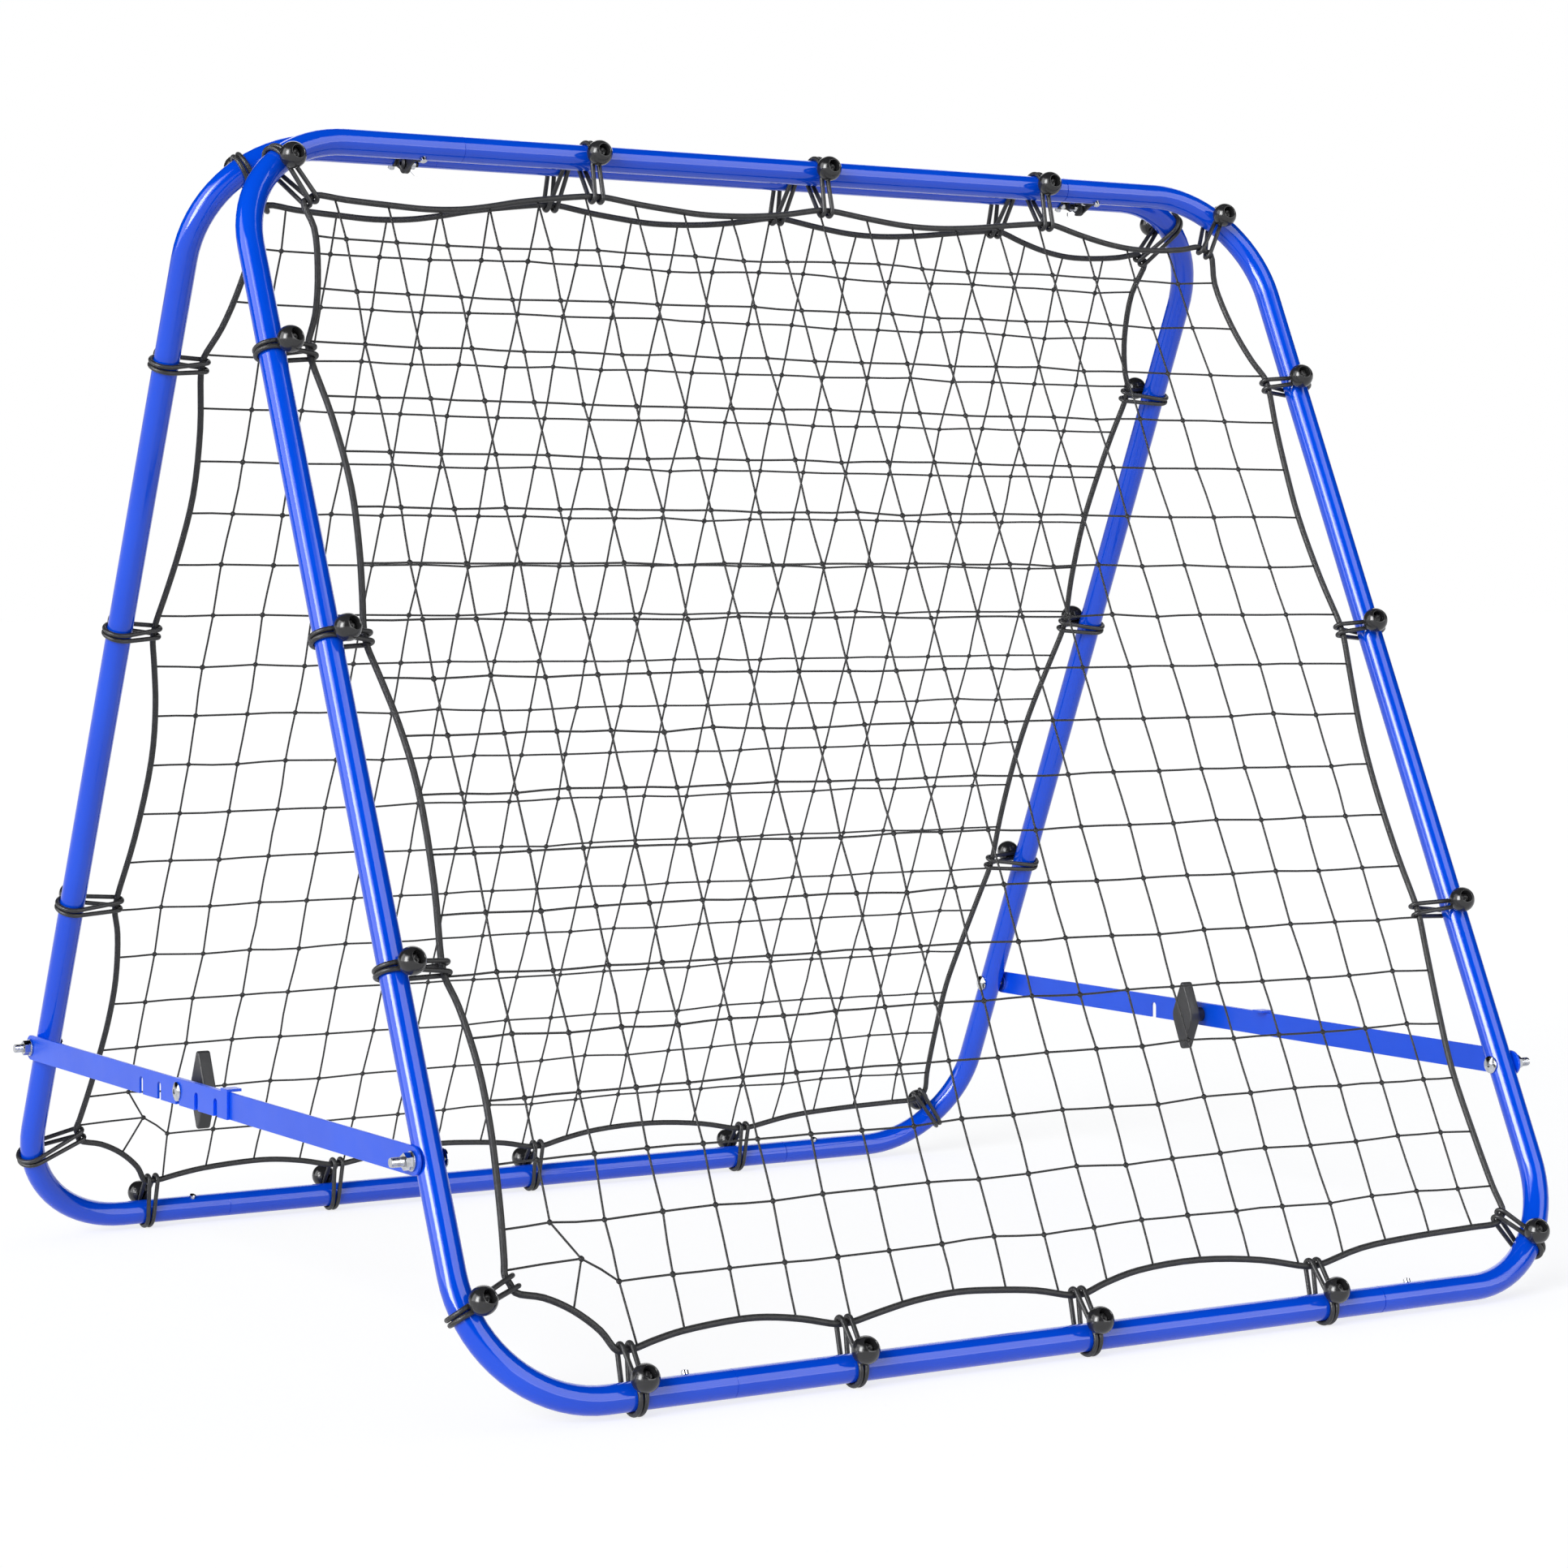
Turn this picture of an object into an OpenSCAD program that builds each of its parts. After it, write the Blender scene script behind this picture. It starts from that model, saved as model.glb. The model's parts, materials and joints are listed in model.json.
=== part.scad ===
// Pitch back rebounder: two leaning tube frames, each with a net hung on ball bungees.
// The frames hinge together at the top and a notched brace on each side holds them apart.
// X is the width, Y runs from front to rear, Z is up. The origin is on the floor, in the middle.

/* [Frames] */
// Outer width of each frame
frame_w = 1200; // [1100:10:1500]
// Outer length of each frame, measured along its slope
frame_l = 1220; // [1000:10:1500]
// Lean of each frame from the vertical, in degrees
lean = 25; // [20:1:29]
// Distance between the two top tubes, centre to centre
top_spacing = 58; // [50:1:70]
// Outside diameter of the frame tube
tube_d = 25; // [22:1:30]
// Wall thickness of the frame tube
tube_wall = 1.5; // [1:0.1:2]
// Bend radius of the corners, to the tube's centre line
bend_r = 117; // [80:1:150]
// Length of each middle tube that shows between its two seams
middle_l = 704; // [500:4:760]
// Length of the swaged end that slides into a side tube
insert_l = 60; // [55:1:80]

/* [Snap buttons] */
// Distance from a seam to its snap button
button_in = 41; // [40:1:46]
// Diameter of a snap button
button_d = 6.6; // [5:0.2:8]
// Height that a snap button stands out of the tube
button_proud = 4.5; // [3:0.5:6]
// Width of the U-shaped spring strip
strip_w = 8; // [6:0.5:9]
// Thickness of the spring strip
strip_t = 0.8; // [0.5:0.1:1]

/* [Bungees] */
// Places of the three top bungees, from the middle
top_bungees = [-214, 47.5, 318.5]; // [-330:0.5:330]
// Places of the four bottom bungees, from the middle
bottom_bungees = [-444, -229, 18, 288]; // [-450:0.5:450]
// Heights of the side bungees above the bottom tube, along the slope
side_bungees = [380, 687, 970]; // [200:1:1000]
// Corner bungees' angles on the bend: top left, top right, bottom left, bottom right
corner_bungees = [51, 51, 16, 45]; // [15:1:75]
// How far each corner bungee is turned from the bend's own direction, in degrees
corner_turns = [6.5, 6.5, 7, 5]; // [0:0.5:7]
// Distance from the top tube to the border rope at a bungee
top_reach = 43; // [34:1:60]
// Distance from the bottom tube to the border rope at a bungee
bottom_reach = 39; // [34:1:60]
// Distances from a side tube to the border rope, lowest bungee first
side_reach = [47, 36, 37]; // [34:1:60]
// Distances from the bent corners to the border rope, in the same order
corner_reach = [45, 45, 50, 38]; // [34:1:60]
// Diameter of the elastic cord
cord_d = 4.5; // [3.5:0.1:5]
// Splay between a bungee's two strands, each way from the middle, in degrees
strand_splay = 2; // [1:0.5:4]
// Diameter of a bungee ball
ball_d = 25; // [22:0.5:30]
// Diameter of the round mouth in a ball
ball_mouth_d = 12; // [10:0.5:14]

/* [Net] */
// Diameter of the border rope
rope_d = 6; // [5:0.5:8]
// How far the border rope bows in between two bungees, as a part of that span
rope_bow = 0.055; // [0:0.005:0.07]
// Diameter of the net's strands
strand_d = 2; // [1.5:0.1:3]
// Distance from one strand to the next
mesh = 72; // [60:1:100]

/* [Braces] */
// Height of the brace pivots above the bottom tube's centre
pivot_h = 195; // [170:1:230]
// Height of a brace bar
bar_h = 25; // [24:0.5:30]
// Thickness of a brace bar
bar_t = 2.5; // [2:0.1:4]
// Distance from the middle back to the clamp bolt
clamp_y = 53; // [40:1:80]
// Distance from one notch to the next
notch_pitch = 45; // [30:1:50]
// Number of notches
notches = 5; // [3:1:6]
// Notches behind the one in use
notch_used = 2; // [0:1:2]
// Length of the notched bar past its last notch
notch_end = 27; // [25:1:40]
// Length of the plain bar past its clamp bolt
plain_end = 17; // [15:1:30]
// Length of the tab that rides on the plain bar, along the bar
tab_l = 15; // [8:1:18]
// Reach of that tab, inward from the notched bar
tab_w = 12; // [6:1:14]
// Diameter of the pivot and clamp bolts
bolt_d = 8; // [6:0.5:9]
// Diameter of a pivot bolt's head
pivot_head_d = 17; // [15:0.5:20]
// Diameter of a clamp bolt's head
clamp_head_d = 18; // [15:0.5:22]
// Height of these bolts' heads
head_h = 3.3; // [2.6:0.1:5]
// Size of a pivot nut across its flats
nut_af = 13; // [12:0.5:16]
// Height of a pivot nut, with its flange
nut_h = 8; // [6:0.5:10]
// Length of a pivot bolt past the tube
bolt_out = 23; // [17:0.5:30]

/* [Clamp knobs] */
// Length of a knob
knob_l = 73; // [60:1:80]
// Width of a knob
knob_w = 34; // [30:1:40]
// Thickness of a knob
knob_t = 12.5; // [10:0.5:16]
// Width of the flat at a knob's ends
knob_end_flat = 5; // [4:0.5:10]
// Length of the flat at a knob's sides
knob_side_flat = 7; // [5:0.5:12]
// Bevel round a knob's faces
knob_bevel = 1.5; // [0.5:0.1:2.5]
// Diameter of the knob's boss
boss_d = 15.5; // [15:0.5:20]
// Length of the boss, from the knob to the plain bar
boss_l = 14; // [10:1:16]
// Diameter of the threaded insert in the knob
knob_insert_d = 12; // [10.5:0.1:12.5]

/* [Hinge clips] */
// Distance from a seam to the middle of its hinge clip
clip_in = 39; // [36:1:44]
// Width of a clip's saddle along the tube
clip_w = 12; // [11:0.5:16]
// Thickness of a clip's saddle
saddle_t = 1.6; // [1.2:0.1:2.5]
// Thickness of a clip's ear
ear_t = 2; // [1.5:0.1:2.2]
// Depth of the fold axis below the top tubes' centres
hinge_drop = 13; // [11:0.5:16]
// Radius of a clip's lug
lug_r = 9.5; // [8:0.5:11]
// Diameter of the clip bolts
clip_bolt_d = 6; // [5:0.5:7]
// Diameter of a clip bolt's head
clip_head_d = 11; // [10:0.5:14]
// Span of a wing nut's wings
wing_span = 22; // [20:1:28]
// Height of a wing nut, with its wings
wing_h = 12; // [10:0.5:16]
// Diameter of the clip screws
screw_d = 3; // [2.5:0.1:3.5]

/* [Clearances] */
// Gap between pieces that are seated on each other
seat = 0.3; // [0.2:0.05:0.5]
// Radial clearance of a bolt in a hole that turns on it
fit = 0.075; // [0.03:0.005:0.1]
// Clearance on each side of the clamp bolt in a notch
notch_gap = 0.3; // [0.2:0.05:0.6]
// Radial clearance of a swaged end in its side tube
slide_fit = 0.1; // [0.05:0.01:0.2]

/* [Hidden] */
$fn = 48;
// The side tubes' centre lines lie this far from the middle
tube_r = tube_d / 2;
half_w = frame_w / 2 - tube_r;
tube_l = frame_l - tube_d;
// The frames stand on the bungee cords that pass under the bottom tubes
foot_z = tube_r + seat + cord_d;
foot_y = top_spacing / 2 + tube_l * sin(lean);
top_z = foot_z + tube_l * cos(lean);
hinge_z = top_z - hinge_drop;
seam_x = middle_l / 2;
insert_r = tube_r - tube_wall - slide_fit;
insert_bore_r = insert_r - tube_wall;
// Snap buttons: the flange bears on the bore of the swaged end
button_x = seam_x + button_in;
button_hole_r = button_d / 2 + 0.2;
flange_r = button_d / 2 + 1.3;
flange_t = 1.5;
flange_z = sqrt(insert_bore_r * insert_bore_r - flange_r * flange_r) - seat;
strip_top = flange_z - flange_t - seat;
strip_foot = -sqrt(insert_bore_r * insert_bore_r - strip_w * strip_w / 4) + seat;
strip_mid_r = (strip_top - strip_foot) / 2;
strip_run = 30;
strip_tail = 6;
// Bungees: two strands pass round the tube and the rope, and the ball sits on them
wrap_r = tube_r + seat + cord_d / 2;
hook_r = rope_d / 2 + seat + cord_d / 2;
strand_gap = cord_d + seat;
stem_r = cord_d / 2 - 0.15;
// The straight runs are a hair thinner than the bends and reach into them, to meet in a clean edge
run_r = cord_d / 2 - 0.05;
run_in = 0.2;
// The stems rise from the straight runs, just past the bends, and the ball straddles the strands
stem_x = run_in + stem_r + 0.3;
ball_z = tube_r + seat + ball_d / 2;
channel_top = wrap_r + cord_d / 2 + seat;
knot_r = ball_mouth_d / 2 - seat;
mouth_from = -1;
// Layers of a brace, counted outward from the side tube
outer_x = frame_w / 2;
plain_x = outer_x + seat;
notched_x = plain_x + bar_t + seat;
bar_z = foot_z + pivot_h;
pivot_v = pivot_h / cos(lean);
pivot_y = foot_y - pivot_v * sin(lean);
first_notch = clamp_y + notch_used * notch_pitch;
last_notch = first_notch - (notches - 1) * notch_pitch;
notch_w = bolt_d + 2 * notch_gap;
// The knob hangs inboard of the plain bar
boss_x = plain_x - seat;
knob_x = boss_x - boss_l;
insert_len = 20;
// Hinge clips
clip_x = seam_x + clip_in;
saddle_r = tube_r + seat;
clip_y = top_spacing / 2;
clip_head_h = 3;
wing_hub_r = 5.5;
wing_t = 2.4;
screw_head_r = 3;
screw_head_h = 1.8;
screw_tip = 7.5;
screw_turn = -135;
screw_x = clip_x - clip_w / 4;
// A saddle spans these directions round its tube, and its arm fills the ones between these insets
saddle_span = [-70, 18];
arm_inset = [4, 8];
// The ears lie side by side at the clip's outboard end
front_ear_x = clip_x + clip_w / 2 - ear_t;
rear_ear_x = front_ear_x - seat - ear_t;

// ---- Places ----

// A frame is drawn flat: X across, Y up its slope from the bottom tube, Z outward
module front_frame() {
  translate([0, -foot_y, foot_z]) rotate([90 - lean, 0, 0]) children();
}

module rear_frame() {
  mirror([0, 1, 0]) front_frame() children();
}

// Draws its children at +X and, mirrored, at -X
module both_sides() {
  children();
  mirror([1, 0, 0]) children();
}

// Turns a piece that is drawn along +Z so that it points along +X
module along_x() {
  rotate([0, 90, 0]) children();
}

// ---- Bungee places, one for each: tube point, direction to the rope, reach ----

function corner(i) =
  let (sx = i % 2 == 0 ? -1 : 1, sy = i < 2 ? 1 : -1,
       a = corner_bungees[i], b = a + corner_turns[i],
       c = [sx * (half_w - bend_r), i < 2 ? tube_l - bend_r : bend_r])
  [c + bend_r * [sx * cos(a), sy * sin(a)], -[sx * cos(b), sy * sin(b)], corner_reach[i]];

hooks = concat(
  [for (u = top_bungees) [[u, tube_l], [0, -1], top_reach]],
  [corner(1)],
  [for (i = [2, 1, 0]) [[half_w, side_bungees[i]], [-1, 0], side_reach[i]]],
  [corner(3)],
  [for (i = [3, 2, 1, 0]) [[bottom_bungees[i], 0], [0, 1], bottom_reach]],
  [corner(2)],
  [for (i = [0, 1, 2]) [[-half_w, side_bungees[i]], [1, 0], side_reach[i]]],
  [corner(0)]
);

// ---- Border rope route: level across each bungee, bowed in between them ----

function turned(d) = [-d[1], d[0]];
function hook_point(h) = h[0] + h[2] * h[1];
// Half length of the rope's straight piece through a hook, clear of both strands
function hook_flat(reach) = strand_gap / 2 + (wrap_r + reach) * tan(strand_splay) + cord_d / 2 + 1;

function span_points(a, b) =
  let (run = b - a, inward = [run[1], -run[0]])
  [for (s = [1 / 3, 2 / 3]) a + s * run + rope_bow * 4 * s * (1 - s) * inward];

rope_points = [
  for (i = [0:len(hooks) - 1])
    let (h = hooks[i], k = hooks[(i + 1) % len(hooks)],
         a = hook_point(h) + hook_flat(h[2]) * turned(h[1]),
         b = hook_point(k) - hook_flat(k[2]) * turned(k[1]))
    each concat([hook_point(h) - hook_flat(h[2]) * turned(h[1]), a], span_points(a, b))
];

function unit(v) = v / norm(v);
function around(list, i) = list[(i + len(list)) % len(list)];

// Sideways step at a corner of the route, so that its width stays even
function side_step(list, i) =
  let (a = unit(list[i] - around(list, i - 1)), b = unit(around(list, i + 1) - list[i]), t = unit(a + b))
  [t[1], -t[0]] / (a * t);

rope_steps = [for (i = [0:len(rope_points) - 1]) side_step(rope_points, i)];
net_edge = [for (i = [0:len(rope_points) - 1]) rope_points[i] + (rope_d / 2 + seat) * rope_steps[i]];

// ---- Frame tubes ----

// Centre line of the right side tube, as a round bar of radius r; ends reach out by more.
// It is drawn in two halves, each from its bend's centre, which meet half way up the frame.
module side_route(r, more) {
  arm = half_w - bend_r - seam_x;
  half_side = tube_l / 2 - bend_r;
  translate([half_w - bend_r, tube_l / 2, 0]) for (s = [0, 1]) mirror([0, s, 0])
    translate([0, half_side, 0]) {
      rotate_extrude(angle = 90) translate([bend_r, 0]) circle(r = r);
      translate([0, bend_r, 0]) rotate([0, -90, 0]) cylinder(r = r, h = arm + more);
      translate([bend_r, 0, 0]) rotate([90, 0, 0]) cylinder(r = r, h = half_side);
    }
}

// Places a piece at the two snap buttons of a frame's right half, pointing into the frame
module at_buttons() {
  translate([button_x, 0, 0]) rotate([-90, 0, 0]) children();
  translate([button_x, tube_l, 0]) rotate([90, 0, 0]) children();
}

// Hole for a snap button, through one wall only
module button_hole() {
  cylinder(r = button_hole_r, h = tube_d);
}

// Hole for a clip screw, in a frame's own axes
module screw_hole() {
  translate([screw_x, tube_l, 0]) rotate([lean - 90 + screw_turn, 0, 0]) screw_bore();
}

// Right side tube, with its holes
module side_tube() {
  difference() {
    side_route(tube_r, 0);
    side_route(tube_r - tube_wall, 1);
    at_buttons() button_hole();
    screw_hole();
    translate([half_w - tube_d, pivot_v, 0]) along_x() cylinder(r = bolt_d / 2 + fit, h = 2 * tube_d);
  }
}

// Straight middle tube between two side tubes, with a swaged end each way
module middle_tube() {
  difference() {
    union() {
      translate([-seam_x + seat, 0, 0]) along_x() cylinder(r = tube_r, h = middle_l - 2 * seat);
      translate([-seam_x - insert_l, 0, 0]) along_x()
        cylinder(r = insert_r, h = middle_l + 2 * insert_l);
    }
    translate([-seam_x + 4, 0, 0]) along_x() cylinder(r = tube_r - tube_wall, h = middle_l - 8);
    translate([-seam_x - insert_l - 1, 0, 0]) along_x()
      cylinder(r = insert_bore_r, h = middle_l + 2 * insert_l + 2);
  }
}

module top_tube() {
  difference() {
    translate([0, tube_l, 0]) middle_tube();
    both_sides() translate([button_x, tube_l, 0]) rotate([90, 0, 0]) button_hole();
    both_sides() screw_hole();
  }
}

module bottom_tube() {
  difference() {
    middle_tube();
    both_sides() translate([button_x, 0, 0]) rotate([-90, 0, 0]) button_hole();
  }
}

// ---- Snap buttons ----

// Button drawn along +Z from the tube's centre, with a rounded top and an inner flange
module button() {
  top = tube_r + button_proud;
  translate([0, 0, flange_z - flange_t]) cylinder(r = flange_r, h = flange_t);
  rotate_extrude() intersection() {
    translate([0, flange_z - flange_t]) square([button_d / 2, top - flange_z + flange_t]);
    translate([0, top - button_d * 0.7]) circle(r = button_d * 0.7);
  }
  translate([0, 0, flange_z - flange_t]) cylinder(r = button_d / 2, h = tube_r - flange_z + flange_t);
}

// U-shaped strip under a button; its bend lies towards the middle of the frame
module button_spring() {
  rotate([90, 0, 0]) linear_extrude(height = strip_w, center = true) {
    translate([-strip_run, strip_top - strip_t]) square([strip_run + strip_tail, strip_t]);
    translate([-strip_run, strip_foot]) square([strip_run + strip_tail, strip_t]);
    translate([-strip_run, (strip_top + strip_foot) / 2]) intersection() {
      difference() {
        circle(r = strip_mid_r);
        circle(r = strip_mid_r - strip_t);
      }
      translate([-2 * strip_mid_r, -strip_mid_r]) square([2 * strip_mid_r, 2 * strip_mid_r]);
    }
  }
}

module button_springs() {
  both_sides() translate([button_x, 0, 0]) rotate([-90, 0, 0]) mirror([0, 1, 0]) button_spring();
  both_sides() translate([button_x, tube_l, 0]) rotate([90, 0, 0]) button_spring();
}

// ---- Net and border rope ----

// Flat net of crossing strands, cut to the rope and clear of the bungees' hooks
module net() {
  across = floor(2 * (half_w - min(side_reach)) / mesh) - 1;
  up = floor((tube_l - top_reach - bottom_reach) / mesh) - 1;
  mid_v = (tube_l - top_reach + bottom_reach) / 2;
  linear_extrude(height = strand_d, center = true) difference() {
    intersection() {
      polygon(net_edge);
      union() {
        for (i = [0:across - 1])
          translate([(i - (across - 1) / 2) * mesh - strand_d / 2, 0]) square([strand_d, tube_l]);
        for (i = [0:up - 1])
          translate([-half_w, mid_v + (i - (up - 1) / 2) * mesh - strand_d / 2])
            square([2 * half_w, strand_d]);
      }
    }
    for (h = hooks)
      translate(hook_point(h)) rotate(atan2(h[1][1], h[1][0]))
        translate([0, -hook_flat(h[2])]) square([hook_r + cord_d / 2 + seat, 2 * hook_flat(h[2])]);
  }
}

// Border rope as one closed tube of eight sides along its route
module border_rope() {
  n = len(rope_points);
  polyhedron(
    points = [
      for (i = [0:n - 1]) for (k = [0:7])
        let (s = rope_d / 2 * cos(45 * k) * rope_steps[i])
        [rope_points[i][0] + s[0], rope_points[i][1] + s[1], rope_d / 2 * sin(45 * k)]
    ],
    faces = [
      for (i = [0:n - 1]) for (k = [0:7])
        let (a = 8 * i + k, b = 8 * i + (k + 1) % 8,
             c = 8 * ((i + 1) % n) + k, d = 8 * ((i + 1) % n) + (k + 1) % 8)
        each [[a, b, d], [a, d, c]]
    ]
  );
}

// ---- Ball bungees, drawn with the tube at the origin and the rope along +X ----

// Angle between a strand's straight runs and the line from the tube to the rope
function run_turn(reach) = asin((wrap_r - hook_r) / reach);

// Distance of each stem from the middle of the ball
function stem_y(reach) =
  strand_gap / 2 + wrap_r * tan(strand_splay) + (wrap_r * sin(run_turn(reach)) + stem_x) * sin(strand_splay);

// One strand: round the tube, along to the rope, round the rope and back
module strand(reach) {
  a = run_turn(reach);
  run = sqrt(reach * reach - (wrap_r - hook_r) * (wrap_r - hook_r));
  rotate([90, 0, 0]) {
    rotate([0, 0, 90 - a]) rotate_extrude(angle = 180 + 2 * a) translate([wrap_r, 0]) circle(r = cord_d / 2);
    translate([reach, 0, 0]) rotate([0, 0, a - 90])
      rotate_extrude(angle = 180 - 2 * a) translate([hook_r, 0]) circle(r = cord_d / 2);
    for (s = [-1, 1])
      translate([wrap_r * sin(a), s * wrap_r * cos(a), 0]) rotate([0, 0, -s * a])
        translate([-run_in, 0, 0]) along_x() cylinder(r = run_r, h = run + 2 * run_in);
  }
}

// One bungee cord: two strands, their ends up through the ball, and the knot in its mouth
module bungee_cord(reach) {
  knot_z = ball_z + mouth_from + seat;
  for (s = [-1, 1]) {
    translate([-wrap_r, s * strand_gap / 2, 0]) rotate([0, 0, s * strand_splay])
      translate([wrap_r / cos(strand_splay), 0, 0]) strand(reach / cos(strand_splay));
    on_run(reach) translate([0, s * stem_y(reach), wrap_r]) cylinder(r = stem_r, h = knot_z + 1 - wrap_r);
  }
  on_run(reach) translate([0, 0, knot_z]) cylinder(r = knot_r, h = 4);
}

// Stands what is drawn along +Z square on the outer straight runs
module on_run(reach) {
  rotate([0, run_turn(reach), 0]) translate([stem_x, 0, 0]) children();
}

// Ball with its round mouth, a channel over the two strands and slots for the stems
module bungee_ball(reach) {
  slot_r = cord_d / 2 + seat;
  y = stem_y(reach);
  channel_y = y + slot_r + ball_d / 2 * sin(strand_splay);
  on_run(reach) translate([0, 0, ball_z]) difference() {
    sphere(r = ball_d / 2);
    translate([-ball_d, -channel_y, channel_top - ball_z - ball_d]) cube([2 * ball_d, 2 * channel_y, ball_d]);
    translate([0, 0, mouth_from]) cylinder(r = ball_mouth_d / 2, h = ball_d);
    translate([0, 0, -ball_d]) linear_extrude(height = ball_d) {
      for (s = [-1, 1])
        translate([0, s * y]) circle(r = slot_r);
      translate([-slot_r, -y]) square([2 * slot_r, 2 * y]);
    }
  }
}

module at_hook(h) {
  translate([h[0][0], h[0][1], 0]) rotate([0, 0, atan2(h[1][1], h[1][0])]) children();
}

module bungee_cords() {
  for (h = hooks) at_hook(h) bungee_cord(h[2]);
}

module bungee_balls() {
  for (h = hooks) at_hook(h) bungee_ball(h[2]);
}

// ---- Bolts and nuts, drawn along +Z ----

// Flat domed head with a hexagon socket; its seat is at Z = 0 and it rises along +Z
module domed_head(d, h, socket) {
  dome = h - 1;
  ball = (d * d / 4 + dome * dome) / (2 * dome);
  difference() {
    intersection() {
      cylinder(d = d, h = h);
      translate([0, 0, h - ball]) sphere(r = ball);
    }
    translate([0, 0, h - 1.8]) cylinder(d = socket, h = 3, $fn = 6);
  }
}

// ---- Braces, right side ----

module pivot_bolt() {
  head_seat = outer_x - tube_d - seat;
  translate([head_seat, -pivot_y, bar_z]) {
    along_x() cylinder(d = bolt_d, h = outer_x + bolt_out - head_seat);
    rotate([0, -90, 0]) domed_head(pivot_head_d, head_h, 5.7);
  }
}

// Flanged hexagon nut, seated on the layer whose outer face is at x
module pivot_nut(x) {
  translate([x + seat, -pivot_y, bar_z]) along_x() difference() {
    union() {
      cylinder(d = nut_af / cos(30), h = nut_h, $fn = 6);
      cylinder(d = nut_af / cos(30) + 2, h = 1.5);
    }
    translate([0, 0, -1]) cylinder(r = bolt_d / 2 + fit, h = nut_h + 2);
  }
}

module pivot_spacer() {
  translate([plain_x, -pivot_y, bar_z]) along_x() difference() {
    cylinder(d = bar_h - 4, h = bar_t);
    translate([0, 0, -1]) cylinder(r = bolt_d / 2 + fit, h = bar_t + 2);
  }
}

// Flat bar in Y and Z, extruded outward from x; drawn with its centre line on Y
module bar_at(x) {
  translate([x, 0, bar_z]) rotate([90, 0, 90]) linear_extrude(height = bar_t) children();
}

// Plain bar, hinged on the front frame and carrying the clamp bolt
module plain_bar() {
  end_y = clamp_y + plain_end - bar_h / 2;
  bar_at(plain_x) difference() {
    union() {
      translate([-pivot_y, -bar_h / 2]) square([pivot_y + end_y, bar_h]);
      translate([-pivot_y, 0]) circle(d = bar_h);
      translate([end_y, 0]) circle(d = bar_h);
    }
    translate([-pivot_y, 0]) circle(r = bolt_d / 2 + fit);
    translate([clamp_y, 0]) circle(r = bolt_d / 2 + fit);
  }
}

// Notched bar, hinged on the rear frame; its tab rides on the plain bar's top edge
module notched_bar() {
  end_y = last_notch - notch_end;
  bar_at(notched_x) difference() {
    union() {
      translate([end_y, -bar_h / 2]) square([pivot_y - end_y, bar_h]);
      translate([pivot_y, 0]) circle(d = bar_h);
      translate([end_y, 0]) square([tab_l, bar_h / 2 + seat + bar_t]);
    }
    translate([pivot_y, 0]) circle(r = bolt_d / 2 + fit);
    for (i = [0:notches - 1])
      translate([first_notch - i * notch_pitch, 0]) {
        circle(d = notch_w);
        translate([-notch_w / 2, -bar_h]) square([notch_w, bar_h]);
      }
  }
  translate([notched_x - tab_w, end_y, bar_z + bar_h / 2 + seat]) cube([tab_w + bar_t, tab_l, bar_t]);
}

module clamp_bolt() {
  head_seat = notched_x + bar_t + seat;
  tip = boss_x - insert_len;
  translate([tip, clamp_y, bar_z]) along_x() cylinder(d = bolt_d, h = head_seat - tip);
  translate([head_seat, clamp_y, bar_z]) along_x() domed_head(clamp_head_d, head_h, 5.7);
}

// ---- Clamp knob, right side ----

// Long eight-sided outline of the knob, made smaller all round by less
module knob_outline(less) {
  a = knob_end_flat / 2;
  b = knob_side_flat / 2;
  l = knob_l / 2 - less;
  w = knob_w / 2 - less;
  polygon([[a, l], [w, b], [w, -b], [a, -l], [-a, -l], [-w, -b], [-w, b], [-a, l]]);
}

module knob() {
  translate([knob_x, clamp_y, bar_z]) rotate([90, 0, 90]) difference() {
    union() {
      translate([0, 0, -knob_t]) linear_extrude(height = knob_t) knob_outline(knob_bevel);
      translate([0, 0, knob_bevel / 2 - knob_t]) linear_extrude(height = knob_t - knob_bevel)
        knob_outline(knob_bevel / 2);
      translate([0, 0, knob_bevel - knob_t]) linear_extrude(height = knob_t - 2 * knob_bevel)
        knob_outline(0);
      cylinder(d = boss_d, h = boss_l);
    }
    translate([0, 0, boss_l - insert_len]) cylinder(r = knob_insert_d / 2 + fit, h = insert_len + 1);
  }
}

module knob_insert() {
  translate([boss_x - insert_len, clamp_y, bar_z]) along_x() difference() {
    cylinder(d = knob_insert_d, h = insert_len);
    translate([0, 0, -1]) cylinder(r = bolt_d / 2 + fit, h = insert_len + 2);
  }
}

// ---- Hinge clips, right side; drawn in Y and Z round the fold axis ----

function polar(r, a) = r * [cos(a), sin(a)];

// Saddle on the front top tube's lower inner side
module saddle_shape() {
  outer_r = saddle_r + saddle_t;
  mid = (saddle_span[0] + saddle_span[1]) / 2;
  translate([-clip_y, hinge_drop]) intersection() {
    difference() {
      circle(r = outer_r);
      circle(r = saddle_r);
    }
    polygon([[0, 0], for (a = [saddle_span[0], mid, saddle_span[1]]) polar(2 * outer_r, a)]);
  }
}

// Lug round the fold axis, and the tapered arm that joins it to the saddle
module ear_shape() {
  tube = [-clip_y, hinge_drop];
  lug_in = lug_r - 0.3;
  arm_r = saddle_r + saddle_t / 2;
  difference() {
    union() {
      circle(r = lug_r);
      polygon([
        polar(lug_in, -115), polar(lug_in, 115),
        tube + polar(arm_r, saddle_span[1] - arm_inset[1]), tube + polar(arm_r, saddle_span[0] + arm_inset[0])
      ]);
      saddle_shape();
    }
    translate(tube) circle(r = saddle_r);
    circle(r = clip_bolt_d / 2 + fit);
  }
}

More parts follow.
